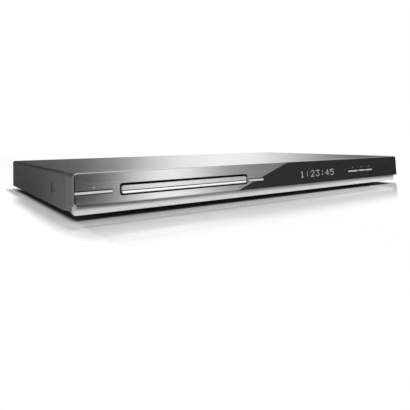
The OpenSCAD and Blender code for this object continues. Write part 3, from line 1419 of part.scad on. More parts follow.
module clamp_magnet() {
  color([0.45, 0.45, 0.47]) in_loader()
    rod_z(magnet_r, clamp_high + clamp_flange - magnet_thick, clamp_high + clamp_flange, 0, spindle_y);
}

// ---- the assembly ----

top_cover();
bottom_chassis();
rear_panel();
front_bezel();
brushed_fascia();
display_lens();
power_key();
open_close_key();
key_a();
key_b();
key_c();
feet();
foot_pads();
cover_screws();
rear_screws();
jack_block();
jack_shells();
jack_inserts();
mains_inlet();
mains_pins();
power_board();
mains_transformer();
capacitors();
heat_sink();
mains_fuse();
main_board();
decoder_chip();
memory_chips();
board_connectors();
front_board();
power_key_board();
display_tube();
tact_switches();
front_ribbon();
loader_ribbon();
loader_frame();
tray();
tray_door();
tray_door_trim();
loading_motor();
motor_pulley();
drive_belt();
pulley_gear();
drive_gear();
cam_slider();
traverse_frame();
pivot_grommets();
spindle_motor();
turntable();
pickup();
pickup_lens();
guide_rods();
sled_motor();
lead_screw();
clamp_bridge();
clamp_puck();
clamp_magnet();
loader_screws();
board_screws();
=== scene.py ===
# %% [markdown]
# # A slim disc player with a loading tray
# This lesson dresses a finished mechanical model in Blender. The model is a full-width disc player:
# a folded steel cover, a moulded front with a brushed and a gloss black panel, a loading tray, and a
# complete loader and its circuit boards inside. Its shapes are already exact, so nothing is moved.
# What is left is what Blender is good at: surfaces, fine printed marks, threads, light and a camera.

# %% Load the mechanical model
import json
import math
import bmesh
import bpy
import numpy as np
from mathutils import Matrix, Vector


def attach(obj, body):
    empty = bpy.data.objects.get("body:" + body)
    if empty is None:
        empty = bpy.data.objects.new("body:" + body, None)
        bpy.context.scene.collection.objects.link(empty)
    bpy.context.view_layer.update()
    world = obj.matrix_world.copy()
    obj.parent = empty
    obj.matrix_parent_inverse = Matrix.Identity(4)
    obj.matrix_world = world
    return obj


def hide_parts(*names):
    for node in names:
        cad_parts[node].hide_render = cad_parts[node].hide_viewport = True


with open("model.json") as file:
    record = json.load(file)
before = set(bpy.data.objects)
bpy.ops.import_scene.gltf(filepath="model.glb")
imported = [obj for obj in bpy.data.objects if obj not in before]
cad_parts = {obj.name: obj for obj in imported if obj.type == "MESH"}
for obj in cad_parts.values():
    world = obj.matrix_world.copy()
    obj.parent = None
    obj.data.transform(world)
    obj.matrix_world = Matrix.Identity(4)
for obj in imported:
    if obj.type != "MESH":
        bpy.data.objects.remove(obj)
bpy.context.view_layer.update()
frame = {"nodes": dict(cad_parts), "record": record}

# %% [markdown]
# ## Where things are
# All lengths are metres. X runs across the player, -Y is the front and Z is up from the table. The
# front panel leans forward at its foot, so a short helper says how far forward its face lies at a
# given height. Whatever is printed on the panel or stands proud of it is placed with that helper.

# %% Places on the case
MM = 0.001
FRONT = -0.12315
LOADER_X = -0.11415
PANEL_LOW, PANEL_HIGH, PANEL_LEAN = 0.0124, 0.0364, 0.0017
KEY_Z, EJECT_KEY_Z = 0.0220, 0.0211


def panel_y(z):
    """Face of the front panel: the front plane, less the lean times the share of the panel above z."""
    return FRONT - PANEL_LEAN * (PANEL_HIGH - z) / (PANEL_HIGH - PANEL_LOW)


print("panel face at the keys:", round(panel_y(KEY_Z), 5))

# %% [markdown]
# ## The camera comes first
# A product picture is judged in one view before any other, so the camera is fixed before a single
# material. A low camera with an ordinary lens makes a slim case look long and flat. The lens is kept
# level and the picture is framed with a small shift, as an architectural photographer does, so that
# upright edges stay upright.

# %% Make the camera
HEADING, ROLL = math.radians(-33.8287), math.radians(-0.4965)
eye = bpy.data.cameras.new("eye")
eye.sensor_width, eye.lens = 36.0, 35.107
eye.shift_x, eye.shift_y = 0.03111, -0.1594
eye.clip_start, eye.clip_end = 0.01, 50.0
camera = bpy.data.objects.new("eye", eye)
bpy.context.scene.collection.objects.link(camera)
level = Matrix.Rotation(math.radians(90.0), 3, "X")
turn = Matrix.Rotation(HEADING, 3, "Z") @ level @ Matrix.Rotation(ROLL, 3, "Z")
camera.location = (-0.3084711, -0.4176037, 0.0613705)
camera.rotation_euler = turn.to_euler()
bpy.context.scene.camera = camera
bpy.context.scene.view_settings.view_transform = "Standard"
print("camera height above the table:", round(camera.location.z, 4))

# %% [markdown]
# ## Shader sums as plain Python
# Blender's shader maths is a web of Math nodes, which soon gets hard to read. One small class wraps
# a node's socket and gives it +, - and *, so that `1 - mask * 0.3` builds the nodes by itself.
# Numbers use Math nodes, vectors use Vector Math and colours use Mix, because a Math node would turn
# a colour grey. Every other node is made by one method that sets its options before its sockets.

# %% The socket wrapper
class Wire:
    """One output socket of a node. Sums on it add the node that does the sum."""

    def __init__(self, net, socket):
        self.net, self.socket = net, socket

    def sum(self, kind, first, second):
        """first kind second, as a Math, Vector Math or Mix node, by what this wire carries."""
        if self.socket.type == "RGBA":
            return self.net.mix(1.0, first, second, kind)
        if self.socket.type != "VECTOR":
            return self.net.calc(kind, first, second)
        if isinstance(second, (int, float)):
            return self.net.node("ShaderNodeVectorMath", {"operation": "SCALE"},
                                 {"Vector": first, "Scale": second})
        return self.net.node("ShaderNodeVectorMath", {"operation": kind}, {0: first, 1: second})

    def __add__(self, other):
        return self.sum("ADD", self, other)

    def __sub__(self, other):
        return self.sum("SUBTRACT", self, other)

    def __rsub__(self, other):
        return self.sum("SUBTRACT", other, self)

    def __mul__(self, other):
        return self.sum("MULTIPLY", self, other)

    __radd__, __rmul__ = __add__, __mul__


def colour(c):
    """A grey number, or three numbers, as the four that a colour socket takes."""
    return (c, c, c, 1.0) if isinstance(c, (int, float)) else (*c[:3], 1.0)


print("grey 0.5 as a socket takes it:", colour(0.5))


# %% The node builder
class Net:
    """The node tree of one finish or of the world."""

    def __init__(self, tree):
        self.tree = tree
        self.tree.nodes.clear()

    def node(self, kind, options=None, sockets=None, out=0):
        """Adds a node, sets its options, then fills its sockets with values or wires."""
        made = self.tree.nodes.new(kind)
        for key, value in (options or {}).items():
            if key == "stops":
                ramp = made.color_ramp
                while len(ramp.elements) < len(value):
                    ramp.elements.new(1.0)
                for stop, (place, shade) in zip(ramp.elements, value):
                    stop.position, stop.color = place, colour(shade)
            else:
                setattr(made, key, value)
        for key, value in (sockets or {}).items():
            if isinstance(value, Wire):
                self.tree.links.new(value.socket, made.inputs[key])
            else:
                made.inputs[key].default_value = value
        return Wire(self, made.outputs[out]) if len(made.outputs) else None

    def calc(self, kind, first, second=0.0):
        """One Math node, by Blender's name for what it does."""
        return self.node("ShaderNodeMath", {"operation": kind}, {0: first, 1: second})

    def mix(self, amount, first, second, kind="MIX"):
        """Goes from the first colour to the second by amount; kind is the blend, such as MULTIPLY."""
        ends = [c if isinstance(c, Wire) else colour(c) for c in (first, second)]
        return self.node("ShaderNodeMix", {"data_type": "RGBA", "blend_type": kind},
                         {0: amount, 6: ends[0], 7: ends[1]}, out=2)

    def grey(self, level):
        """A number as a grey colour."""
        return self.node("ShaderNodeCombineColor", None, {0: level, 1: level, 2: level})

    def place(self):
        """Where a point is on the object, in metres."""
        return self.node("ShaderNodeTexCoord", out="Object")

    def part(self, wire, axis):
        """The X, Y or Z part of a vector, by number."""
        return self.node("ShaderNodeSeparateXYZ", None, {0: wire}, out=axis)

    def facing(self, axis):
        """The X, Y or Z part of the way the surface looks, by number."""
        return self.part(self.node("ShaderNodeTexCoord", out="Normal"), axis)

    def length(self, wire):
        """The length of a vector."""
        return self.node("ShaderNodeVectorMath", {"operation": "LENGTH"}, {0: wire}, out="Value")

    def noise(self, scale, detail=3.0, rough=0.55, stretch=(1.0, 1.0, 1.0)):
        """Cloudy noise from 0 to 1; a small stretch number draws it out along that axis."""
        spot = self.node("ShaderNodeMapping", None, {"Vector": self.place(), "Scale": stretch})
        return self.node("ShaderNodeTexNoise", None,
                         {"Vector": spot, "Scale": scale, "Detail": detail, "Roughness": rough})

    def ramp(self, wire, low, high):
        """0 below low, 1 above high, and smooth between."""
        return self.node("ShaderNodeMapRange", {"interpolation_type": "SMOOTHSTEP"},
                         {"Value": wire, "From Min": low, "From Max": high})

    def fall(self, wire, low, high):
        """1 below low, 0 above high, and smooth between."""
        return 1.0 - self.ramp(wire, low, high)

    def bump(self, height, depth):
        """Turns a height from 0 to 1 into a surface that is depth metres rough."""
        return self.node("ShaderNodeBump", None, {"Height": height, "Distance": depth, "Strength": 1.0})

    def blend(self, amount, first, second):
        """Goes from the first shader to the second by amount."""
        return self.node("ShaderNodeMixShader", None, {0: amount, 1: first, 2: second})

    def close(self, shader):
        """Joins a shader to the material's output."""
        self.node("ShaderNodeOutputMaterial", None, {"Surface": shader})


print("node helpers:", sum(callable(value) for value in vars(Net).values()) - 1)

# %% [markdown]
# ## One way to end every finish
# Each finish on a real product is a base colour, a gloss and a relief. So every recipe below ends in
# the same Principled shader: what varies goes into colour, roughness and normal, and what is the same
# all over is set on the shader's own sockets, where an exporter finds it again.

# %% Start and end a finish
FINISH = {}


def blank(name):
    """A new material, and its empty node tree."""
    made = bpy.data.materials.new(name)
    made.use_nodes = True
    return made, Net(made.node_tree)


def start(slot):
    """An empty finish under the name of one of the model's material slots."""
    FINISH[slot], net = blank(slot)
    return net


def end(net, base, rough, normal=None, metal=0.0, **fixed):
    """Closes a finish with one Principled shader; fixed holds its constant sockets by name."""
    sockets = {"Base Color": base if isinstance(base, Wire) else colour(base), "Roughness": rough,
               "Metallic": metal}
    if normal is not None:
        sockets["Normal"] = normal
    for key, value in fixed.items():
        sockets[key.replace("_", " ")] = value
    net.close(net.node("ShaderNodeBsdfPrincipled", None, sockets))


def shaded(base, by):
    """A colour times a number, with no part over 1."""
    return tuple(min(1.0, c * by) for c in base)


print("a colour darkened by a fifth:", shaded((0.5, 0.5, 0.5), 0.8))

# %% [markdown]
# ## Brushed metal
# A brushed sheet has been drawn under an abrasive belt, which leaves hair-fine parallel scratches.
# Up close each scratch is a tiny groove; from a hand's width away only the long soft streaks in its
# brightness are left. Noise that is drawn out a hundredfold along the grain gives both: a fine one
# for the grooves and a broad one for the streaks. The folded sides of a cover are brushed along their
# own length, so the grain there follows Y, and the surface normal chooses between the two. Where a
# mask needs a soft edge, its start and end are kept as a named pair.

# %% Brushed and rolled sheet
# Places of the painted shade round the brushed panel and its keys.
PANEL_END = (-0.2166, -0.2157)
PANEL_FOOT = (0.0127, 0.0133)
KEY_SLOTS = ((-0.2200, -0.1869, KEY_Z), (-0.0463, -0.0262, EJECT_KEY_Z))
SLOT_HALF, SLOT_SOFT = (0.0016, 0.0020), 0.0004
COVER_SEAM = (-0.1010, -0.1004)
COVER_TOP = (0.0310, 0.0330)


def grain(net, along):
    """Fine scratches and broad streaks, drawn out along axis number along."""
    drawn = [1.0, 1.0, 1.0]
    drawn[along] = 0.012
    return net.noise(5200.0, 2.0, 0.6, drawn), net.noise(620.0, 3.0, 0.6, drawn)


def painted_gap_shade(net):
    """Painted shade in the dark gap round the brushed panel: at its left end, along its foot, and in a fine
    line over and under both keys.
    """
    spot = net.place()
    across, up = net.part(spot, 0), net.part(spot, 2)
    dark = net.calc("MAXIMUM", net.fall(across, *PANEL_END), net.fall(up, *PANEL_FOOT) * 0.6)
    for left, right, height in KEY_SLOTS:
        beside = net.ramp(across, left, left + SLOT_SOFT) * net.fall(across, right - SLOT_SOFT, right)
        off = net.calc("ABSOLUTE", up - height)
        dark = net.calc("MAXIMUM", dark, beside * net.fall(off, *SLOT_HALF) * 0.85)
    return dark


def brushed(slot, base, rough, depth, contrast, folded=False, gap_shaded=False):
    """Metal brushed along X; on a folded sheet the sides are brushed along Y, darker in the last half
    millimetre beside the front frame, and a face below the top that looks up gets painted shade, as in the
    dimples and inside the case. With gap_shaded, the panel gets painted shade in its gap."""
    net = start(slot)
    scratches, streaks = grain(net, 0)
    if folded:
        side = net.ramp(net.calc("ABSOLUTE", net.facing(0)), 0.55, 0.8)
        across, broad = grain(net, 1)
        scratches = scratches + (across - scratches) * side
        streaks = streaks + (broad - streaks) * side
    handled = net.noise(9.0, 4.0, 0.6)
    shade = 1.0 - contrast + streaks * contrast + scratches * contrast * 0.8
    if folded:
        spot = net.place()
        # Painted shade on faces below the top that look up.
        painted_shade_up = net.ramp(net.facing(2), 0.05, 0.35) * net.fall(net.part(spot, 2), *COVER_TOP)
        seam = side * net.fall(net.part(spot, 1), *COVER_SEAM)
        shade = shade * (1.0 - painted_shade_up * 0.75) * (1.0 - seam * 0.5)
    if gap_shaded:
        # Painted shade in the gap round the panel and its keys.
        shade = shade * (1.0 - painted_gap_shade(net) * 0.72)
    gloss = rough + (streaks - 0.5) * 0.16 + (scratches - 0.5) * 0.10 + (handled - 0.5) * 0.05
    relief = net.bump(scratches * 0.7 + streaks * 0.3, depth)
    end(net, net.grey(shade) * base, gloss, relief, metal=1.0)


brushed("fascia_metal", (0.90, 0.905, 0.91), 0.15, 1.4e-6, 0.20, gap_shaded=True)
brushed("cover_paint", (0.70, 0.705, 0.71), 0.18, 0.6e-6, 0.10, folded=True)
brushed("sheet_steel", (0.60, 0.61, 0.62), 0.38, 3.0e-6, 0.26, folded=True)
brushed("heat_metal", (0.68, 0.69, 0.70), 0.36, 4.0e-6, 0.25)
print("brushed finishes:", len(FINISH))

# %% [markdown]
# ## Plated and polished metal
# Bright plating is smooth, but never perfect: polishing leaves faint lines, fingers leave a haze and
# the plating waves a little. Only the roughness and a very shallow relief carry this, because chrome
# has no colour variation of its own. Turned parts such as rods, motors and pulleys show the lathe's
# fine rings instead, which is noise squeezed along the part's axis.

# %% Plated metal
EJECT_KEY_X = ((-0.0501, -0.0499), (-0.0001, 0.0001))
SMALL_KEYS_X = (0.0999, 0.1001)
# Where the painted shade on the keys' rounded edges starts and ends, off the middle line, and how much
# sooner on the small keys.
EDGE_SHADE_HALF, SMALL_KEYS_SHADE_WIDER = (0.00072, 0.00092), 0.00015


def polishing(net):
    """A broad haze, faint lines along X, and the shallow relief that both leave."""
    haze = net.noise(160.0, 4.0, 0.65)
    lines = net.noise(2600.0, 2.0, 0.5, (0.03, 1.0, 1.0))
    return haze, lines, net.bump(haze * 0.6 + lines * 0.4, 1.5e-6)


def plated(slot, base, rough):
    """Bright plating with a light haze and faint polishing lines."""
    net = start(slot)
    haze, lines, relief = polishing(net)
    end(net, base, rough * 0.7 + haze * rough * 0.7 + lines * rough * 0.3, relief, metal=1.0)


def key_plating(slot, base, rough, metal):
    """Plated plastic keys, a little milky. From EDGE_SHADE_HALF above and below a key's middle line the
    rounded edges are painted dark, a painted shade, and are rougher and not metal. The key beside the tray
    sits lower, and on the small keys at the right the painted shade starts nearer the middle line."""
    net = start(slot)
    spot = net.place()
    across, up = net.part(spot, 0), net.part(spot, 2)
    eject = net.ramp(across, *EJECT_KEY_X[0]) * net.fall(across, *EJECT_KEY_X[1])
    off = net.calc("ABSOLUTE", up - KEY_Z + eject * (KEY_Z - EJECT_KEY_Z))
    # edge is the painted shade on the keys' rounded edges.
    edge = net.ramp(off + net.ramp(across, *SMALL_KEYS_X) * SMALL_KEYS_SHADE_WIDER, *EDGE_SHADE_HALF)
    haze, _, relief = polishing(net)
    tint = net.mix(edge, net.mix(haze * 0.3, base, shaded(base, 0.9)), 0.05)
    gloss = rough * 0.8 + haze * rough * 0.5 + edge * 0.3
    end(net, tint, gloss, relief, metal=metal - edge * metal)


key_plating("key_chrome", (0.97, 0.975, 0.98), 0.20, 0.35)
plated("trim_chrome", (0.97, 0.972, 0.975), 0.16)
plated("pin_metal", (0.78, 0.77, 0.75), 0.14)
print("with plating:", len(FINISH))


# %% Turned and cast metal
def turned(slot, base, rough, axis):
    """Metal from a lathe: rings that change only along the axis, over a light stain."""
    net = start(slot)
    squeeze = [0.03, 0.03, 0.03]
    squeeze[axis] = 1.0
    ring = net.noise(9000.0, 1.0, 0.5, squeeze)
    stain = net.noise(220.0, 4.0, 0.6)
    tint = net.mix(stain * 0.5, base, shaded(base, 0.78))
    end(net, tint, rough + ring * 0.14 + (stain - 0.5) * 0.08, net.bump(ring, 4e-6), metal=1.0)


def cast(slot, base, rough, coarse=1400.0):
    """Die-cast or sintered metal: a grainy skin with darker pores."""
    net = start(slot)
    skin = net.noise(coarse, 5.0, 0.7)
    pores = net.ramp(net.noise(coarse * 0.6, 2.0, 0.5), 0.62, 0.72)
    tint = net.mix(pores * 0.5 + skin * 0.2, base, shaded(base, 0.45))
    end(net, tint, rough + skin * 0.2, net.bump(skin - pores * 0.5, 20e-6), metal=0.85)


turned("jack_metal", (0.82, 0.72, 0.46), 0.20, axis=1)
turned("screw_steel", (0.60, 0.60, 0.62), 0.30, axis=0)
turned("motor_steel", (0.60, 0.61, 0.63), 0.30, axis=2)
turned("pulley_brass", (0.78, 0.62, 0.32), 0.26, axis=2)
turned("rod_steel", (0.74, 0.75, 0.77), 0.14, axis=1)
cast("pickup_metal", (0.34, 0.35, 0.37), 0.42)
cast("magnet", (0.30, 0.30, 0.31), 0.40, coarse=2400.0)
print("metal finishes:", len(FINISH))

# %% [markdown]
# ## Moulded plastic
# A mould is spark-eroded or sanded, and the plastic copies that fine even grain. Flow lines and the
# odd sink add a slow change in gloss. Most of the player's inner pieces differ only in colour and in
# how coarse the grain is, so one recipe makes them all. Painted plastic gets metal flakes on top, and
# the gloss black window gets dust-fine scratches.

# %% Moulded plastic
LARGE_SEAT, SMALL_SEAT = (0.0244, 0.0250), (0.0221, 0.0225)
RUBBED_FROM, RUBBED_TO = (0.0246, 0.0250), (0.02512, 0.02518)


def mould_skin(net, base, rough, coarse, mottle):
    """Colour, roughness and height of plastic with an eroded grain and a slow change where it flowed:
    the colour goes from 1 - 2 mottle to 1 + mottle times base."""
    eroded = net.noise(coarse, 3.0, 0.6)
    flow = net.noise(55.0, 3.0, 0.55)
    tint = net.mix(flow * 0.6 + eroded * 0.4, shaded(base, 1.0 - mottle * 2.0), shaded(base, 1.0 + mottle))
    return tint, rough + (flow - 0.5) * 0.12 + (eroded - 0.5) * 0.10, eroded


def moulded(slot, base, rough, coarse=2600.0, mottle=0.10, **fixed):
    """Plain moulded plastic."""
    net = start(slot)
    tint, gloss, eroded = mould_skin(net, base, rough, coarse, mottle)
    end(net, tint, gloss, net.bump(eroded, 8e-6), **fixed)


def tray_seats(slot, base, rough):
    """The tray: moulded grain; the two disc seats below its top are darker, which is painted shade, and
    smoother, and a worn, paler edge where discs are laid down."""
    net = start(slot)
    tint, gloss, eroded = mould_skin(net, base, rough, 1800.0, 0.10)
    up = net.part(net.place(), 2)
    large, small = net.fall(up, *LARGE_SEAT), net.fall(up, *SMALL_SEAT)
    rubbed = net.ramp(up, *RUBBED_FROM) * net.fall(up, *RUBBED_TO)
    # Painted shade in the two disc seats.
    tint = net.mix(large * 0.34 + small * 0.26, tint, (0.020, 0.020, 0.022))
    tint = net.mix(rubbed * 0.5, tint, (0.22, 0.22, 0.23))
    end(net, tint, gloss - large * 0.08, net.bump(eroded, 12e-6))


moulded("foot_plastic", (0.055, 0.055, 0.058), 0.55)
moulded("black_plastic", (0.045, 0.045, 0.048), 0.48)
moulded("loader_plastic", (0.060, 0.060, 0.064), 0.50)
tray_seats("tray_plastic", (0.085, 0.086, 0.090), 0.46)
moulded("traverse_plastic", (0.075, 0.075, 0.080), 0.50)
moulded("turntable_plastic", (0.060, 0.060, 0.065), 0.55)
moulded("gear_plastic", (0.80, 0.78, 0.70), 0.38, mottle=0.04, Subsurface_Weight=0.08)
moulded("connector_plastic", (0.80, 0.77, 0.66), 0.42, mottle=0.05)
moulded("chip_plastic", (0.030, 0.030, 0.033), 0.52, coarse=3600.0)
print("with moulded plastic:", len(FINISH))


# %% Painted and polished plastic
def flakes(net):
    """Metal flakes in paint: small cells, each with a random level from 0 to 1."""
    cells = net.node("ShaderNodeTexVoronoi", {"feature": "F1"}, {"Vector": net.place(), "Scale": 5200.0},
                     out="Color")
    return net.part(cells, 0)


def silver_paint(slot, base, rough, flake, groove_low, groove_high, soft=0.0002):
    """Sprayed silver: metal flakes as small cells of differing grey. In the groove between two heights the
    colour is painted shade, near black, and the groove is rougher and not metal."""
    net = start(slot)
    spark = flakes(net)
    worn = net.noise(30.0, 4.0, 0.6)
    up = net.part(net.place(), 2)
    # Painted shade in the groove between groove_low and groove_high.
    bare = net.ramp(up, groove_low - soft, groove_low) * net.fall(up, groove_high, groove_high + soft)
    tint = net.mix(spark * 0.55 + worn * 0.2, shaded(base, 0.92), base)
    tint = net.mix(bare * 0.93, tint, 0.03)
    gloss = rough + (spark - 0.5) * 0.14 + (worn - 0.5) * 0.08 + bare * 0.3
    peel = net.bump(net.noise(900.0, 2.0, 0.5), 1.2e-6)
    end(net, tint, gloss, peel, metal=flake - bare * flake)


def gloss_black(slot, base, rough):
    """Polished dark window: almost a mirror, with hair scratches and a breath of dust."""
    net = start(slot)
    hair = net.ramp(net.noise(1500.0, 2.0, 0.5, (0.05, 1.0, 0.3)), 0.66, 0.78)
    dust = net.ramp(net.noise(700.0, 5.0, 0.7), 0.60, 0.85)
    tint = net.mix(dust * 0.12, base, 0.10)
    end(net, tint, rough + hair * 0.10 + dust * 0.18, net.bump(net.noise(60.0, 2.0), 4e-6))


silver_paint("door_paint", (0.985, 0.99, 0.995), 0.22, 0.80, 0.0213, 0.0218)
gloss_black("lens_plastic", (0.020, 0.021, 0.022), 0.10)
print("plastic finishes:", len(FINISH))

# %% [markdown]
# ## The front frame has two faces
# The moulded frame is sprayed to match the steel cover on its top and sides. Its lower strip and the fine
# line along the top of the panels are a less metallic, more even silver, painted lighter: the light falling
# on them from the front is painted into their colour, and the line is a painted highlight. The crease under
# the panels has a painted shadow, the ledges that face up between the pieces have painted shade, and the
# sides are painted lighter at their front edge and darker towards their foot. One piece can carry all of
# it: the place of a point and the way its face looks decide what it shows.

# %% The frame's double finish
AT_FRONT = (FRONT + 0.0030, FRONT + 0.0042)
STRIP_TOP, RIM_FOOT = (0.0120, 0.0124), (0.0355, 0.0363)
LEFT_END, LEFT_CORNER = (-0.2165, -0.2125), (0.0150, 0.0175)
CREASE_SLOPE, CREASE_CORE = (0.0080, 0.0112), (0.0110, 0.0118)
CREASE_PALER = (-0.17, -0.02)
LEDGE_TOP = (0.0300, 0.0310)
SIDE_EDGE, SIDE_FOOT = (-0.1205, -0.1190), (0.0075, 0.0095)


def frame_finish(slot):
    """Masks from 0 to 1, each a product of soft steps in place or facing, choose the sprayed silver, the
    lighter and less metallic front band and rim whose lighter colour is painted light, the painted shadow
    under the panels, or the painted shade on the ledges that look up."""
    net = start(slot)
    spot = net.place()
    across, deep, up = (net.part(spot, axis) for axis in range(3))
    at_front, low = net.fall(deep, *AT_FRONT), net.fall(up, *STRIP_TOP)
    end_left = net.fall(across, *LEFT_END)
    corner = end_left * net.fall(up, *LEFT_CORNER)
    ahead = net.ramp(net.facing(1) * -1.0, 0.90, 0.98)
    # Painted highlight: the rim's fine line along the top and at the left corner.
    rim = ahead * (0.35 + net.ramp(up, *RIM_FOOT) * 0.65 + corner * 0.65) * (1.0 - low)
    # The front band and rim take the less metallic silver; its lighter colour is painted light from the
    # front.
    lit_strip_and_rim = at_front * (low + rim)
    # Painted shadow of the panels' overhang on the band below them, paler at the left end and towards the
    # right.
    crease_shadow = net.ramp(up, *CREASE_SLOPE) * 0.76 + net.ramp(up, *CREASE_CORE) * 0.14
    crease_shadow = crease_shadow * low * (1.0 - end_left * 0.8) * (1.0 - net.ramp(across, *CREASE_PALER) * 0.34)
    # Painted shade on faces near the front that look up, below the top.
    nook_shade = at_front * net.ramp(net.facing(2), 0.3, 0.6) * net.fall(up, *LEDGE_TOP) * (1.0 - corner)
    side = net.ramp(net.calc("ABSOLUTE", net.facing(0)), 0.5, 0.8)
    cells = flakes(net)
    drawn = net.noise(900.0, 3.0, 0.6, (0.02, 1.0, 1.0))
    worn = net.noise(30.0, 4.0, 0.6)
    sprayed = net.mix(drawn * 0.6 + worn * 0.4, (0.68, 0.685, 0.69), (0.78, 0.785, 0.79))
    # Painted highlight on the front edge of each side.
    sprayed = net.mix(side * net.fall(deep, *SIDE_EDGE) * 0.25, sprayed, 1.0)
    # Painted shade towards the foot, away from the front.
    sprayed = net.mix((1.0 - at_front) * net.fall(up, *SIDE_FOOT) * 0.25, sprayed, 0.10)
    pale = net.mix(cells * 0.6 + worn * 0.4, (0.86, 0.865, 0.865), (0.96, 0.965, 0.965))
    tint = net.mix(lit_strip_and_rim, sprayed, net.mix(crease_shadow, pale, 0.07))
    tint = net.mix(nook_shade, tint, 0.04)
    gloss = 0.19 + lit_strip_and_rim * 0.14 + nook_shade * 0.4 + (cells - 0.5) * 0.06 + (drawn - 0.5) * 0.06
    end(net, tint, gloss, net.bump(drawn, 0.3e-6), metal=0.98 - lit_strip_and_rim * 0.62)


frame_finish("bezel_plastic")
print("with the frame:", len(FINISH))

# %% [markdown]
# ## Painted steel, rubber and coloured sockets
# The rear panel is baked paint with the skin of an orange. Rubber is matt, a little dusty and darker
# in its pores. The seven phono sockets share one moulded plastic but not one colour: the colour tells
# which plug goes where, so it is chosen by the socket's place, with steps along X and Z.

# %% Rear paint, rubbers and socket colours
SOCKET_STEPS = (0.0265, 0.0395, 0.0525)
SOCKET_UPPER_ROW = 0.0238
RED = (0.55, 0.03, 0.03)
LOWER_SOCKETS = ((0.80, 0.80, 0.78), RED, (0.75, 0.55, 0.04), (0.75, 0.28, 0.03))
UPPER_SOCKETS = ((0.04, 0.32, 0.08), (0.04, 0.10, 0.50), RED)


def baked_paint(slot, base, rough):
    """Stoved paint: an orange-peel relief and a little dust on it."""
    net = start(slot)
    peel = net.noise(1100.0, 3.0, 0.55)
    dust = net.noise(40.0, 5.0, 0.65)
    end(net, net.mix(dust * 0.5, base, shaded(base, 1.6)), rough + dust * 0.12, net.bump(peel, 15e-6))


def rubber(slot, base, rough):
    """Rubber: a matt skin whose pores are darker and whose high spots are dusty."""
    net = start(slot)
    pores = net.noise(1900.0, 4.0, 0.65)
    bloom = net.noise(70.0, 3.0, 0.6)
    tint = net.mix(pores * 0.5 + bloom * 0.5, base, shaded(base, 2.2))
    end(net, tint, rough + (bloom - 0.5) * 0.15, net.bump(pores, 20e-6))


def socket_colours(slot):
    """Lower row: white, red, yellow, orange; upper row: green, blue, red; they change at SOCKET_STEPS."""
    net = start(slot)
    spot = net.place()
    rows = []
    for tint, *others in (LOWER_SOCKETS, UPPER_SOCKETS):
        for step, after in zip(SOCKET_STEPS, others):
            tint = net.mix(net.calc("GREATER_THAN", net.part(spot, 0), step), tint, after)
        rows.append(tint)
    upper = net.calc("GREATER_THAN", net.part(spot, 2), SOCKET_UPPER_ROW)
    skin = net.noise(2400.0, 3.0, 0.6)
    end(net, net.mix(skin * 0.25, net.mix(upper, *rows), 0.02), 0.38 + skin * 0.12, net.bump(skin, 8e-6))


baked_paint("rear_paint", (0.050, 0.050, 0.053), 0.42)
rubber("pad_rubber", (0.028, 0.028, 0.028), 0.85)
rubber("belt_rubber", (0.022, 0.022, 0.022), 0.62)
socket_colours("jack_plastic")
print("finishes so far:", len(FINISH))

# %% [markdown]
# ## Circuit boards and their parts
# A board is glass cloth under a thin green lacquer. The copper tracks below show as slightly lighter
# green lines, with round tinned pads between them. Drawn tracks would be thousands of shapes, so the
# pattern is worked out in the shader: a square grid is cut into cells, and random numbers per cell
# decide which of its two middle lines carry a track. A power supply's board is the cheaper, tan one.

# %% Circuit boards
TRACK_HALF, TRACKS_LEFT_OUT, PAD_RADIUS = 0.14, 0.45, 0.34


def board(slot, base, track, cell, bare):
    """Lacquered board, in cells of cell metres: tracks within TRACK_HALF of a cell's middle lines where its
    random number is over TRACKS_LEFT_OUT, pads where it is over bare, and the weave of the cloth."""
    net = start(slot)
    grid = net.place() * (1.0 / cell)
    which = net.node("ShaderNodeVectorMath", {"operation": "FLOOR"}, {0: grid})
    inside = net.node("ShaderNodeVectorMath", {"operation": "FRACTION"}, {0: grid}) - (0.5, 0.5, 0.5)
    chance = net.node("ShaderNodeTexWhiteNoise", {"noise_dimensions": "3D"}, {"Vector": which}, out="Color")
    lines = []
    for axis in (0, 1):
        line = net.calc("LESS_THAN", net.calc("ABSOLUTE", net.part(inside, axis)), TRACK_HALF)
        lines.append(line * net.calc("GREATER_THAN", net.part(chance, axis), TRACKS_LEFT_OUT))
    copper = net.calc("MAXIMUM", *lines)
    pad = net.calc("LESS_THAN", net.length(inside * (1.0, 1.0, 0.0)), PAD_RADIUS)
    pad = pad * net.calc("GREATER_THAN", net.part(chance, 2), bare)
    weave = net.noise(3000.0, 2.0, 0.5)
    tint = net.mix(copper * 0.8, base, track)
    tint = net.mix(weave * 0.25, tint, shaded(base, 0.6))
    tint = net.mix(pad, tint, (0.62, 0.62, 0.60))
    end(net, tint, 0.34 - pad * 0.08 + weave * 0.1, net.bump(copper + pad, 30e-6), metal=pad * 0.9)


board("board_green", (0.018, 0.125, 0.055), (0.040, 0.230, 0.105), 0.0016, 0.86)
board("board_tan", (0.42, 0.29, 0.13), (0.50, 0.36, 0.17), 0.0026, 0.80)
print("with the boards:", len(FINISH))

# %% Windings, sleeves, glass and flat cable
WINDING_Y, WINDING_HALF = 0.04485, (0.0108, 0.0112)
PLATES_PER_METRE, WIRES_PER_METRE = 2200.0, 1000.0
LOADER_RIBBON_END = -0.012


def wound(slot, base, core):
    """Transformer: a core of thin stacked plates, and yellow tape where the winding stands out of it, in
    front and behind."""
    net = start(slot)
    spot = net.place()
    layers = net.calc("FRACT", net.part(spot, 2) * PLATES_PER_METRE)
    tape = net.noise(500.0, 3.0, 0.6, (1.0, 1.0, 0.25))
    ends = net.ramp(net.calc("ABSOLUTE", net.part(spot, 1) - WINDING_Y), *WINDING_HALF)
    tint = net.mix(ends, net.mix(layers, shaded(core, 0.6), core), net.mix(tape, shaded(base, 0.8), base))
    end(net, tint, 0.42 + tape * 0.15, net.bump(layers * 0.5 + tape * 0.5, 50e-6))


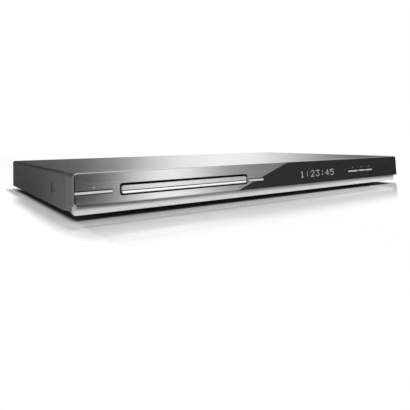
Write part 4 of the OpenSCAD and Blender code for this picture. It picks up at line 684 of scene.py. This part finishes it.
def sleeve(slot, base, band):
    """Shrink sleeve of a capacitor: a pale stripe down one side and a bare metal top."""
    net = start(slot)
    lid = net.ramp(net.facing(2), 0.8, 0.9)
    film = net.noise(900.0, 3.0, 0.5)
    scored = net.noise(1400.0, 2.0, 0.5)
    tint = net.mix(net.calc("GREATER_THAN", net.facing(1), 0.86), base, band)
    tint = net.mix(film * 0.2, tint, (0.01, 0.01, 0.02))
    tint = net.mix(lid, tint, (0.60, 0.61, 0.62))
    end(net, tint, 0.22 + film * 0.12 + scored * lid * 0.2, net.bump(film, 10e-6), metal=lid * 0.95)


def glass(slot, base, rough, through):
    """Tinted glass with faint seeds and a slight drawn wave."""
    net = start(slot)
    seeds = net.ramp(net.noise(2600.0, 2.0, 0.5), 0.70, 0.80)
    drawn = net.noise(240.0, 2.0, 0.5, (0.2, 1.0, 1.0))
    tint = net.mix(seeds * 0.4, base, 0.9)
    end(net, tint, rough + seeds * 0.2, net.bump(drawn, 6e-6), Transmission_Weight=through, IOR=1.5)


def flat_cable(slot, base, copper):
    """Ribbon cable: one tinned wire a millimetre shows as a fine stripe under the film. The wires lie side
    by side along Y in the loader's ribbon, at the left, and along X in the other."""
    net = start(slot)
    spot = net.place()
    along_x, along_y = (net.calc("FRACT", net.part(spot, axis) * WIRES_PER_METRE) for axis in (0, 1))
    pitch = along_x + (along_y - along_x) * net.calc("LESS_THAN", net.part(spot, 0), LOADER_RIBBON_END)
    wire = net.fall(net.calc("ABSOLUTE", pitch - 0.5), 0.30, 0.36)
    film = net.noise(600.0, 3.0, 0.5)
    tint = net.mix(wire * 0.7, base, copper)
    end(net, tint, 0.30 + film * 0.15, net.bump(wire, 80e-6), metal=wire * 0.4)


wound("winding", (0.74, 0.55, 0.10), (0.34, 0.34, 0.36))
sleeve("can_sleeve", (0.020, 0.024, 0.080), (0.62, 0.63, 0.68))
glass("fuse_glass", (0.86, 0.90, 0.92), 0.05, 0.85)
glass("tube_glass", (0.10, 0.14, 0.14), 0.08, 0.35)
glass("lens_glass", (0.25, 0.32, 0.62), 0.03, 0.80)
flat_cable("ribbon_plastic", (0.74, 0.74, 0.71), (0.52, 0.50, 0.46))
print("finishes in all:", len(FINISH))

# %% [markdown]
# ## Putting the finishes on
# The packed record says which finish each piece has, so no list is typed twice. A piece keeps its
# mesh, and only its material slots are filled.

# %% Dress every piece of the model
for piece in frame["record"]["subparts"]:
    slots = frame["nodes"][piece["node"]].data.materials
    slots.clear()
    slots.append(FINISH[piece["material_slot"]])

# %% [markdown]
# ## Helpers for new shapes
# The new pieces are thin or round things that would be tedious to draw: lit dots, printed lines and
# a thread. Each is a surface: a rule that turns two numbers into a point. numpy works the rule out for
# all points at once, and the finished arrays go into the mesh in one step.

# %% Grids of points into meshes
def lattice(rows, columns, closed=True):
    """Corner numbers of the quads between neighbours of a grid; closed joins its last and first column."""
    wide = columns if closed else columns - 1
    row, col = np.meshgrid(np.arange(rows - 1), np.arange(wide), indexing="ij")
    after = (col + 1) % columns
    return np.stack([row * columns + col, row * columns + after, (row + 1) * columns + after,
                     (row + 1) * columns + col], -1).reshape(-1, 4)


def mesh_object(name, points, quads, finish):
    """Puts points and quads into a mesh, and the mesh into the scene."""
    mesh = bpy.data.meshes.new(name)
    mesh.from_pydata(points.reshape(-1, 3).tolist(), [], quads.tolist())
    mesh.update()
    mesh.materials.append(finish)
    made = bpy.data.objects.new(name, mesh)
    bpy.context.scene.collection.objects.link(made)
    print(name, "quads:", len(quads))
    return made


def carried(made, body):
    """Says which body a new piece moves with."""
    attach(made, body)
    return made


def surface(name, points, body, slot, finish=None):
    """Makes closed shells of a (copies, rows, columns, 3) grid of points: quads between neighbours, points
    in one place merged, and all faces turned outwards."""
    copies, rows, columns = points.shape[:3]
    quads = lattice(rows, columns)[None] + np.arange(copies)[:, None, None] * rows * columns
    made = mesh_object(name, points, quads.reshape(-1, 4), FINISH[finish or slot])
    shell = bmesh.new()
    shell.from_mesh(made.data)
    bmesh.ops.remove_doubles(shell, verts=shell.verts, dist=2e-7)
    bmesh.ops.recalc_face_normals(shell, faces=shell.faces)
    shell.to_mesh(made.data)
    shell.free()
    return carried(made, body)


print("a grid of 3 by 4 points has quads:", len(lattice(3, 4)))

# %% [markdown]
# ## The bright lip of the tray door
# The tray door ends in a bright lip along its foot that leans out towards the light, like the drip edge
# of a window sill. A flat bar would mirror whatever stands in front of the player; a leaning one mirrors
# the ceiling, which is why the lip is a clean white line from end to end. It is one profile carried along
# X: a sloping face with rounded edges, drawn to nothing in the door's rounded corners.

# %% Carry the lip's profile along the door
DOOR_HALF, DOOR_CORNER = 0.0651, 0.0022
LIP_LOW, LIP_HIGH = 0.0193, 0.0213
LIP_LOOP = np.array([(-1.20, 0.02), (0.20, 0.0), (0.36, 0.01), (0.43, 0.05), (0.45, 0.11), (0.42, 0.19),
                     (0.34, 0.30), (0.16, 0.46), (-0.06, 0.64), (-0.27, 0.80), (-0.42, 0.93), (-0.52, 0.99),
                     (-0.62, 1.0), (-1.20, 1.0)])


def lip_points(along=96):
    """Grid of the lip. Across, LIP_LOOP says how many millimetres each point lies out of the panel's face
    and what share of the way up; along, the loop's foot rises as the door's corner circle does: LIP_LOW +
    R - sqrt(R^2 - s^2), s metres into the corner."""
    a = np.linspace(-math.pi / 2, math.pi / 2, along)
    x = np.sin(a) * DOOR_HALF
    into = np.clip(np.abs(x) - (DOOR_HALF - DOOR_CORNER), 0.0, DOOR_CORNER)
    low = LIP_LOW + DOOR_CORNER - np.sqrt(DOOR_CORNER ** 2 - into ** 2)
    tall = np.maximum(LIP_HIGH - low, 0.0)[:, None]
    z = LIP_HIGH - tall * (1.0 - LIP_LOOP[None, :, 1])
    y = panel_y(z) - LIP_LOOP[None, :, 0] * MM * np.sqrt(tall / (LIP_HIGH - LIP_LOW))
    points = np.stack([np.broadcast_to(LOADER_X + x[:, None], y.shape), y, z], -1)
    points[[0, -1]] = points[[0, -1]].mean(axis=1, keepdims=True)
    return points[None]


lip = surface("door_lip", lip_points(), "tray", "trim_chrome")
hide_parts("tray_door_trim")

# %% [markdown]
# ## The thread of the lead screw
# The pickup is carried along by a thin screw. Its thread is a groove that winds round the rod: at every
# place the depth of the groove depends only on the turn angle less the angle that the thread has wound
# so far. So one formula for the radius gives the whole thread, and no cutting is needed.

# %% Wind the groove round the screw
SCREW_SPOT = np.array([-0.08115, -0.0130342, 0.0120992])
SCREW_AXIS = np.array([0.0, 0.997684279, 0.068015291])
SCREW_RADIUS, SCREW_PITCH, GROOVE_DEPTH = 0.0015, 0.0030, 0.00035
SCREW_FROM, SCREW_TO = -0.02141, 0.03070
GROOVE_FROM, GROOVE_TO, GROOVE_FADE = SCREW_FROM + 0.002, SCREW_TO - 0.005, 0.002


def thread_points(along=560, around=20):
    """Grid of the screw. At turn angle a and distance t along the axis the radius is the rod's, less the
    groove's depth times the square of (1 + cos(a - 2 pi t / pitch)) / 2, fading out at both ends."""
    t = np.linspace(SCREW_FROM, SCREW_TO, along)[:, None]
    a = np.linspace(0, 2 * math.pi, around, endpoint=False)[None]
    fade = np.clip((t - GROOVE_FROM) / GROOVE_FADE, 0, 1) * np.clip((GROOVE_TO - t) / GROOVE_FADE, 0, 1)
    r = SCREW_RADIUS - GROOVE_DEPTH * fade * (0.5 + 0.5 * np.cos(a - 2 * math.pi * t / SCREW_PITCH)) ** 2
    r[[0, -1]] = 0.0
    t[0], t[-1] = t[1], t[-2]
    sideways = np.array([1.0, 0.0, 0.0])
    upright = np.cross(SCREW_AXIS, sideways)
    points = (SCREW_SPOT + t[..., None] * SCREW_AXIS + (r * np.cos(a))[..., None] * sideways
              + (r * np.sin(a))[..., None] * upright)
    return points[None]


thread = surface("screw_thread", thread_points(), "lead_screw", "rod_steel")
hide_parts("lead_screw")

# %% [markdown]
# ## Legs of the chips
# A flat chip stands on rows of thin tinned legs, bent like a gull's wing: out of the chip's side, down to
# the board and flat on their pads. One leg is a small rectangle carried along that bent path, and the
# others are the same grid of points at another place, turned to the side they stick out of.

# %% Bend one leg and set out the rows
LEG_OUT = np.array([-0.4, -0.4, 0.30, 0.50, 1.10, 1.10]) * MM
LEG_UP = np.array([13.05, 13.05, 13.05, 12.50, 12.46, 12.46]) * MM
DECODER = (34.0, 54.85)
MEMORIES = ((64.0, 44.85), (64.0, 64.85))
ENDS, SIDES = ((0, -1), (0, 1)), ((-1, 0), (1, 0))


def chip_row(middle, out, off, half, legs):
    """Legs that stick out along the unit vector out, off millimetres from a chip's middle, spread evenly
    from minus half to plus half millimetres."""
    out = np.array(out, float)
    spread = np.linspace(-half, half, legs)[:, None]
    spots = (np.array(middle) + out * off + np.abs(out[::-1]) * spread) * MM
    return spots, np.broadcast_to(out, spots.shape)


def leg_points(spots, out, half_wide=0.00012, half_thick=0.00005):
    """Grids of the legs: corners are plus or minus half_wide along the row and plus or minus half_thick
    square to the bent path, and both ends shrink to a point on the path."""
    slope = np.stack([np.gradient(LEG_OUT), np.gradient(LEG_UP)], -1)
    slope /= np.linalg.norm(slope, axis=1, keepdims=True)
    open_row = np.array([0, 1, 1, 1, 1, 0])[:, None]
    wide = open_row * np.array([1, 1, -1, -1]) * half_wide
    thick = open_row * np.array([1, -1, -1, 1]) * half_thick
    reach = LEG_OUT[:, None] - slope[:, 1:] * thick
    high = LEG_UP[:, None] + slope[:, :1] * thick
    beside = np.stack([-out[:, 1], out[:, 0]], -1)
    flat = (spots[:, None, None] + reach[None, ..., None] * out[:, None, None]
            + wide[None, ..., None] * beside[:, None, None])
    return np.concatenate([flat, np.broadcast_to(high[None, ..., None], flat.shape[:3] + (1,))], -1)


legs = [chip_row(DECODER, out, 13.0, 11.7, 48) for out in ENDS + SIDES]
legs += [chip_row(middle, out, 5.0, 9.0, 27) for middle in MEMORIES for out in ENDS]
leg_spots, leg_out = (np.concatenate(kind) for kind in zip(*legs))
surface("chip_legs", leg_points(leg_spots, leg_out), "player", "pin_metal")

# %% [markdown]
# ## The lit display
# Behind the dark window stands a display tube whose characters are little dots of light, five across
# and seven up. A running time is what such a display shows while a disc plays. The dots could be an
# emissive picture, but real geometry keeps them crisp at any distance, so each lit dot is a soft
# raised pillow on the window's face. A dot pattern is seven rows of bits, and np.unpackbits reads it.

# %% Dots of the running time
DOTS = {
    "1": (4, 12, 4, 4, 4, 4, 14), "2": (14, 17, 1, 2, 4, 8, 31), "3": (31, 2, 4, 2, 1, 17, 14),
    "4": (2, 6, 10, 18, 31, 2, 2), "5": (31, 16, 30, 1, 1, 17, 14), ":": (0, 4, 4, 0, 4, 4, 0),
}
DOT_HALF_WIDE, DOT_HALF_TALL, DOT_RISE = 0.00038, 0.00034, 0.00004


def lit_dots(text, left, low, across, tall, pitch):
    """Centres of the lit dots of text: bit columns and rows scaled to the character's size."""
    bits = np.array([DOTS[c] for c in text], np.uint8)
    lit = np.unpackbits(bits[:, :, None], axis=2)[:, :, 3:]
    char, row, col = np.nonzero(lit)
    return np.stack([left + char * pitch + col * across / 4, low + (6 - row) * tall / 6], -1)


def pillows(centres, around=12):
    """Soft-cornered dots on the panel. Round angle a and ring r, a point is the centre plus the dot's half
    sizes times r along a squared circle, raised where r leaves the rim, and closed behind."""
    a = np.linspace(0, 2 * math.pi, around, endpoint=False)
    r = np.array([0.0, 1.0, 1.0, 0.93, 0.7, 0.0])[:, None]
    rise = np.array([-0.5, -0.5, 0.0, 0.8, 1.0, 1.0])[:, None] * DOT_RISE
    wide = r * np.sign(np.cos(a)) * np.abs(np.cos(a)) ** 0.6 * DOT_HALF_WIDE
    tall = r * np.sign(np.sin(a)) * np.abs(np.sin(a)) ** 0.6 * DOT_HALF_TALL
    x, z = centres[:, 0, None, None] + wide, centres[:, 1, None, None] + tall
    return np.stack([x, panel_y(z) - rise - 0.00001, z], -1)


def display_light(slot):
    """The tube's cold light, a little uneven, as it comes through the window."""
    net = start(slot)
    shade = net.mix(net.noise(1800.0, 2.0, 0.5) * 0.4, (0.86, 0.90, 0.92), (0.62, 0.67, 0.70))
    end(net, (0.30, 0.32, 0.33), 0.5, Emission_Color=shade, Emission_Strength=0.75)


display_light("display_light")
time_dots = lit_dots("1:23:45", left=0.0288, low=0.0198, across=0.0050, tall=0.0061, pitch=0.0084)
surface("display_dots", pillows(time_dots), "player", "tube_glass", "display_light")

# %% [markdown]
# ## Printed marks by the keys
# The keys are plain bars, so small printed signs above them say what they do: play, stop and pause,
# the tray sign beside the tray and the power sign over the power key. A sign is a stroke: a thin
# ribbon of ink carried along a line. The ribbon lies on the panel's own slope.

# %% Ribbons of ink
INK_HALF, INK_FILM = 0.00012, 0.00003


def stroke(path, half):
    """A ribbon: each point of path plus and minus the path's normal times half, which may vary along it."""
    along = np.gradient(path, axis=0)
    along /= np.linalg.norm(along, axis=1, keepdims=True)
    side = np.stack([-along[:, 1], along[:, 0]], -1) * half
    return np.stack([path - side, path + side], 1)


def line(first, last, half=INK_HALF, points=3, taper=0.0):
    """A straight stroke between two (x, z) places; its width times 1 - taper is left at the end."""
    t = np.linspace(0, 1, points)[:, None]
    return stroke(np.array(first) * (1 - t) + np.array(last) * t, half * (1 - t * taper))


def arc(centre, radius, from_deg, to_deg, points=18):
    """Part of a circle as a stroke: the centre plus the radius times (cos a, sin a)."""
    a = np.radians(np.linspace(from_deg, to_deg, points))[:, None]
    return stroke(np.array(centre) + radius * np.concatenate([np.cos(a), np.sin(a)], -1), INK_HALF)


def ink(slot, base):
    """Screen-printed ink: dense, matt, with the mesh of the screen just showing."""
    net = start(slot)
    screen = net.noise(3200.0, 2.0, 0.6)
    tint = net.mix(screen * 0.35, base, shaded(base, 0.7))
    end(net, tint, 0.5 + screen * 0.15, net.bump(screen, 5e-6))


def printed(name, strokes, body, finish):
    """Joins strokes into one mesh on the leaning panel, a film's thickness in front of its face."""
    quads, first = [], 0
    for ribbon in strokes:
        quads.append(lattice(len(ribbon), 2, closed=False) + first)
        first += len(ribbon) * 2
    x, z = np.concatenate([ribbon.reshape(-1, 2) for ribbon in strokes]).T
    points = np.stack([x, panel_y(z) - INK_FILM, z], -1)
    made = mesh_object(name, points, np.concatenate(quads), FINISH[finish])
    film = made.modifiers.new("film", "SOLIDIFY")
    film.thickness, film.offset = INK_FILM, -1.0
    return carried(made, body)


print("ink ribbons ready, half width:", INK_HALF)

# %% Print the signs
SIGN_Z, SIGN_HALF = 0.0262, 0.0006
PLAY_X, STOP_X, PAUSE_X = (0.1207, 0.1219), (0.1385, 0.1396), (0.1535, 0.1543)
EJECT_X, EJECT_BAR_Z, EJECT_ROOF_Z, EJECT_HALF = -0.0320, 0.0243, (0.0247, 0.0256), 0.0008
POWER_SPOT, POWER_RADIUS, POWER_TOP = (-0.2017, 0.0258), 0.0009, 0.0271

ink("sign_ink", (0.42, 0.43, 0.44))
signs = [line((PLAY_X[0], SIGN_Z), (PLAY_X[1], SIGN_Z), SIGN_HALF, 6, taper=1.0),
         line((STOP_X[0], SIGN_Z), (STOP_X[1], SIGN_Z), 0.00055)]
signs += [line((x, SIGN_Z - SIGN_HALF), (x, SIGN_Z + SIGN_HALF), 0.0002) for x in PAUSE_X]
printed("key_signs", signs, "player", "sign_ink")

ink("pale_ink", (0.40, 0.405, 0.41))
signs = [line((EJECT_X - EJECT_HALF, EJECT_BAR_Z), (EJECT_X + EJECT_HALF, EJECT_BAR_Z), 0.00018),
         line((EJECT_X, EJECT_ROOF_Z[0]), (EJECT_X, EJECT_ROOF_Z[1]), EJECT_HALF, 5, taper=1.0),
         arc(POWER_SPOT, POWER_RADIUS, 115, 425),
         line(POWER_SPOT, (POWER_SPOT[0], POWER_TOP))]
printed("panel_signs", signs, "player", "pale_ink")

# %% [markdown]
# ## Light and background
# A plain studio: a big soft light above, one in front and one behind, and a white room. Lamps are kept
# out of the mirror surfaces here, because what a shiny case shows is decided by the cards around it.

# %% The world
ROOM_LIGHT = 0.32


def shown(net):
    """1 for rays that show the surroundings as they are: from the camera, in gloss, or through glass."""
    seen, gloss, glassy = (net.node("ShaderNodeLightPath", out=name)
                           for name in ("Is Camera Ray", "Is Glossy Ray", "Is Transmission Ray"))
    return net.calc("MAXIMUM", net.calc("MAXIMUM", seen, gloss), glassy)


world = bpy.data.worlds.new("studio")
bpy.context.scene.world = world
world.use_nodes = True
room = Net(world.node_tree)
strength = ROOM_LIGHT + shown(room) * (1.0 - ROOM_LIGHT)
sky = room.node("ShaderNodeBackground", None, {"Color": colour(1.0), "Strength": strength})
room.node("ShaderNodeOutputWorld", None, {"Surface": sky})
print("world nodes:", len(world.node_tree.nodes))


# %% The lamps
def softbox(name, place, aim, wide, tall, strength):
    """An area lamp of wide by tall metres; strength is how bright its face is, where 1 is white."""
    lamp = bpy.data.lights.new(name, "AREA")
    lamp.shape, lamp.size, lamp.size_y = "RECTANGLE", wide, tall
    lamp.energy = strength * math.pi * wide * tall
    made = bpy.data.objects.new(name, lamp)
    bpy.context.scene.collection.objects.link(made)
    made.location = place
    made.rotation_euler = (Vector(place) - Vector(aim)).to_track_quat("Z", "Y").to_euler()
    made.visible_camera = made.visible_glossy = False


softbox("above", (0.1, -0.1, 1.5), aim=(0.0, 0.0, 0.0), wide=1.7, tall=1.2, strength=1.5)
softbox("front", (0.15, -1.15, 0.90), aim=(0.05, -0.12, 0.02), wide=1.5, tall=0.6, strength=3.8)
softbox("behind", (0.5, 1.45, 0.9), aim=(0.0, 0.0, 0.03), wide=0.8, tall=0.8, strength=2.0)

# %% [markdown]
# ## Cards for the metal to mirror
# Polished and brushed metal has almost no brightness of its own; it shows what stands round it. A
# photographer puts grey and white cards there and lets them blend into one another. Here they are one
# wide wall and one carpet that only mirror-like reflections can see. Their grey follows the compass
# direction, in degrees from straight behind the player to its right. From where the camera stands it is
# dark behind the left end, white behind the middle and dark again behind the right end, and one bright
# card at the front right draws the soft bright band across the brushed panel.

# %% Greys of the cards, and how far a point is from the case
CARDS = [(-180, 0.34), (-120, 0.42), (-35, 0.10), (-16.5, 0.08), (-9.7, 0.03),
         (9.7, 0.04), (17.3, 0.112), (23.3, 0.32), (27.8, 0.66), (32, 0.90), (37.8, 1.0), (43, 0.95),
         (48, 0.62), (52.8, 0.30), (56.6, 0.12), (62, 0.08), (80, 0.30), (118, 0.07),
         (126, 0.12), (133, 0.19), (138, 0.25), (141.5, 0.36), (144, 0.54), (146.5, 0.86), (149.4, 1.0),
         (152, 0.94), (154.5, 0.68), (157, 0.32), (160, 0.10), (163, 0.052),
         (170, 0.060), (180, 0.34)]
OUTLINE = ((0, -1, 0.2175), (0, 1, 0.2175), (1, -1, 0.1232), (1, 1, 0.1170))


def outside(net, spot, room, inset=(0.0, 0.0, 0.0, 0.0)):
    """How far a point lies outside the player's outline: 0 at an edge, 1 at the end of that side's room.
    The sides come in the order left, right, front, rear; inset moves each edge inwards."""
    past = []
    for (axis, sign, edge), reach, drawn_in in zip(OUTLINE, room, inset):
        gone = (net.part(spot, axis) * sign - edge + drawn_in) * (1.0 / reach)
        past.append(net.calc("MAXIMUM", gone, 0.0))
    return net.length(net.node("ShaderNodeCombineXYZ", None, {0: past[0] + past[1], 1: past[2] + past[3]}))


def card_grey(net, spot):
    """The grey that CARDS gives for the direction of a vector, which is the arc tangent of x over y."""
    angle = net.calc("ARCTAN2", net.part(spot, 0), net.part(spot, 1))
    stops = [((degrees + 180) / 360, grey) for degrees, grey in CARDS]
    return net.node("ShaderNodeValToRGB", {"stops": stops}, {0: angle * (0.5 / math.pi) + 0.5})


def emission(net, grey):
    """A surface that is as bright as its colour, whatever light falls on it."""
    return net.node("ShaderNodeEmission", None, {"Color": grey, "Strength": 1.0})


def ring(name, near, far, finish, columns=128, rows=8):
    """A band of quads round Z whose rows run from one (radius, height) to another; part of the stage."""
    a = np.linspace(0, 2 * math.pi, columns, endpoint=False)
    t = np.linspace(0, 1, rows)[:, None]
    r, h = (first + (last - first) * t for first, last in zip(near, far))
    points = np.stack([np.cos(a) * r, np.sin(a) * r, h + 0 * a], -1)
    made = mesh_object(name, points, lattice(rows, columns), finish)
    return made


print("stops of grey:", len(CARDS))

# %% The wall and the carpet
WALL_RADIUS, WALL_FOOT, WALL_TOP, WALL_FADE = 20.0, -0.1, 14.0, (7.0, 13.0)
CARPET_HOLE, CARPET_Z = 0.0005, 0.0006
FRONT_HUB, SIDE_HUB = (-0.308, 0.170, 0.0), (-0.127, -0.4176, 0.0)
SIDE_TURN = (math.radians(11.5), math.radians(17.5))
SIDE_FROM = (-0.16, -0.10)
CARPET_ROOM = (0.001, 0.05, 0.075, 0.05)


def card(name, wall):
    """The wall melts into the white room at its top. The carpet's greys fan out from FRONT_HUB in front and
    from SIDE_HUB at the left; it is open round the player and shows only from above."""
    made, net = blank(name)
    spot = net.place()
    if wall:
        grey = card_grey(net, spot)
        clear = net.ramp(net.part(spot, 2), *WALL_FADE)
    else:
        aside = spot - SIDE_HUB
        turn = net.calc("ARCTAN2", net.part(aside, 0) * -1.0, net.part(aside, 1))
        left = net.grey(0.062 + net.ramp(turn, *SIDE_TURN) * 0.10)
        grey = net.mix(net.ramp(net.part(spot, 1), *SIDE_FROM), card_grey(net, spot - FRONT_HUB), left)
        near = net.fall(outside(net, spot, CARPET_ROOM), 0.8, 1.2)
        clear = net.calc("MAXIMUM", near, net.node("ShaderNodeNewGeometry", out="Backfacing"))
    net.close(net.blend(clear, emission(net, grey), net.node("ShaderNodeBsdfTransparent")))
    return made


for cards in (ring("card_wall", (WALL_RADIUS, WALL_FOOT), (WALL_RADIUS, WALL_TOP), card("card_wall", True)),
              ring("card_carpet", (WALL_RADIUS, CARPET_Z), (CARPET_HOLE, CARPET_Z),
                   card("card_carpet", False))):
    cards.visible_camera = cards.visible_diffuse = False
    cards.visible_shadow = cards.visible_transmission = False

# %% [markdown]
# ## The table
# A pale polished table. Close to the player it is a real surface that takes the shadow and a faint mirror
# image, and painted shade is added there too: dark and matt under the case, darker near it, to the left and
# in a band in front, with painted light, more plain white, in the middle in front and to the right. A
# hand's width away it blends into plain white, as a long studio sheet does when it is lit until no edge is
# left. Right of a slanted line from the front right corner it is white at once.

# %% The table
TABLE_ROOM = (0.028, 0.012, 0.100, 0.040)
SHADE_ROOM, SHADE_INSET = (0.2, 0.1, 0.1, 0.1), (0.0065, 0.002, 0.007, -0.004)
SLANT_X, SLANT_Y, SLANT_EDGE = 0.4888, 0.8725, (0.2128, 0.2168)
MIDDLE_FROM, MIDDLE_TO = (-0.19, -0.06), (0.10, 0.20)
WHITER_RIGHT, DARKER_LEFT = (-0.05, 0.15), (-0.10, 0.15)
LEFT_NEAR, LEFT_FAR, FRONT_NEAR = (0.2125, 0.2180), (0.2200, 0.2290), (0.124, 0.130)
WHITE_REACH, MIDDLE_REACH, DARK_REACH = (0.30, 0.90), (0.13, 0.20), (0.28, 0.42)
BAND_FROM, BAND_TO = (0.10, 0.22), (0.26, 0.44)
TABLE_RADIUS, TABLE_HOLE = 6.0, 0.0005


def table_finish(name):
    """far is how much plain white is mixed in, by side and by distance in shares of TABLE_ROOM, with more
    of it in the middle in front and to the right, which is painted light; grey is the table's colour with
    painted shade near the case, to the left and in a band in front; under the case the surface is matt and
    dark, a painted shadow."""
    made, net = blank(name)
    spot = net.place()
    across, deep = net.part(spot, 0), net.part(spot, 1)
    to_left, to_front = across * -1.0, deep * -1.0
    away = outside(net, spot, TABLE_ROOM)
    # under is the painted shadow under the case.
    under = net.fall(outside(net, spot, SHADE_ROOM, SHADE_INSET), 0.0, 0.02)
    # middle and the right get painted light: more plain white near the case.
    middle = net.fall(away, *MIDDLE_REACH) * net.ramp(across, *MIDDLE_FROM) * net.fall(across, *MIDDLE_TO)
    far = (1.0 - under) * (0.05 + net.ramp(across, *WHITER_RIGHT) * 0.13 + middle * 0.11)
    far = far + net.ramp(away, *WHITE_REACH) * 0.92
    beside_left = 0.26 + net.ramp(to_left, *LEFT_FAR) * net.ramp(deep, 0.0, 0.10)
    far = far + net.ramp(to_left, *LEFT_NEAR) * beside_left
    far = net.calc("MAXIMUM", far, net.ramp(across * SLANT_X - deep * SLANT_Y, *SLANT_EDGE))
    # darker and band are painted shade near the case, to the left and in front.
    darker = net.fall(across, *DARKER_LEFT)
    grey = 0.93 - net.fall(away, *DARK_REACH) * darker * 0.16
    band = net.ramp(away, *BAND_FROM) * net.fall(away, *BAND_TO) * net.ramp(to_front, *FRONT_NEAR)
    grey = grey - band * (0.10 + darker * 0.10)
    polish = 0.03 + net.noise(14.0, 3.0, 0.5) * 0.03
    top = net.node("ShaderNodeBsdfPrincipled", None,
                   {"Base Color": net.grey(grey), "Roughness": polish, "IOR": 1.7})
    top = net.blend(under, top, net.node("ShaderNodeBsdfDiffuse", None, {"Color": colour(0.16)}))
    net.close(net.blend(far * shown(net), top, emission(net, colour(1.0))))
    return made


ring("table", (TABLE_RADIUS, 0.0), (TABLE_HOLE, 0.0), table_finish("table"), columns=64, rows=2)

# %% [markdown]
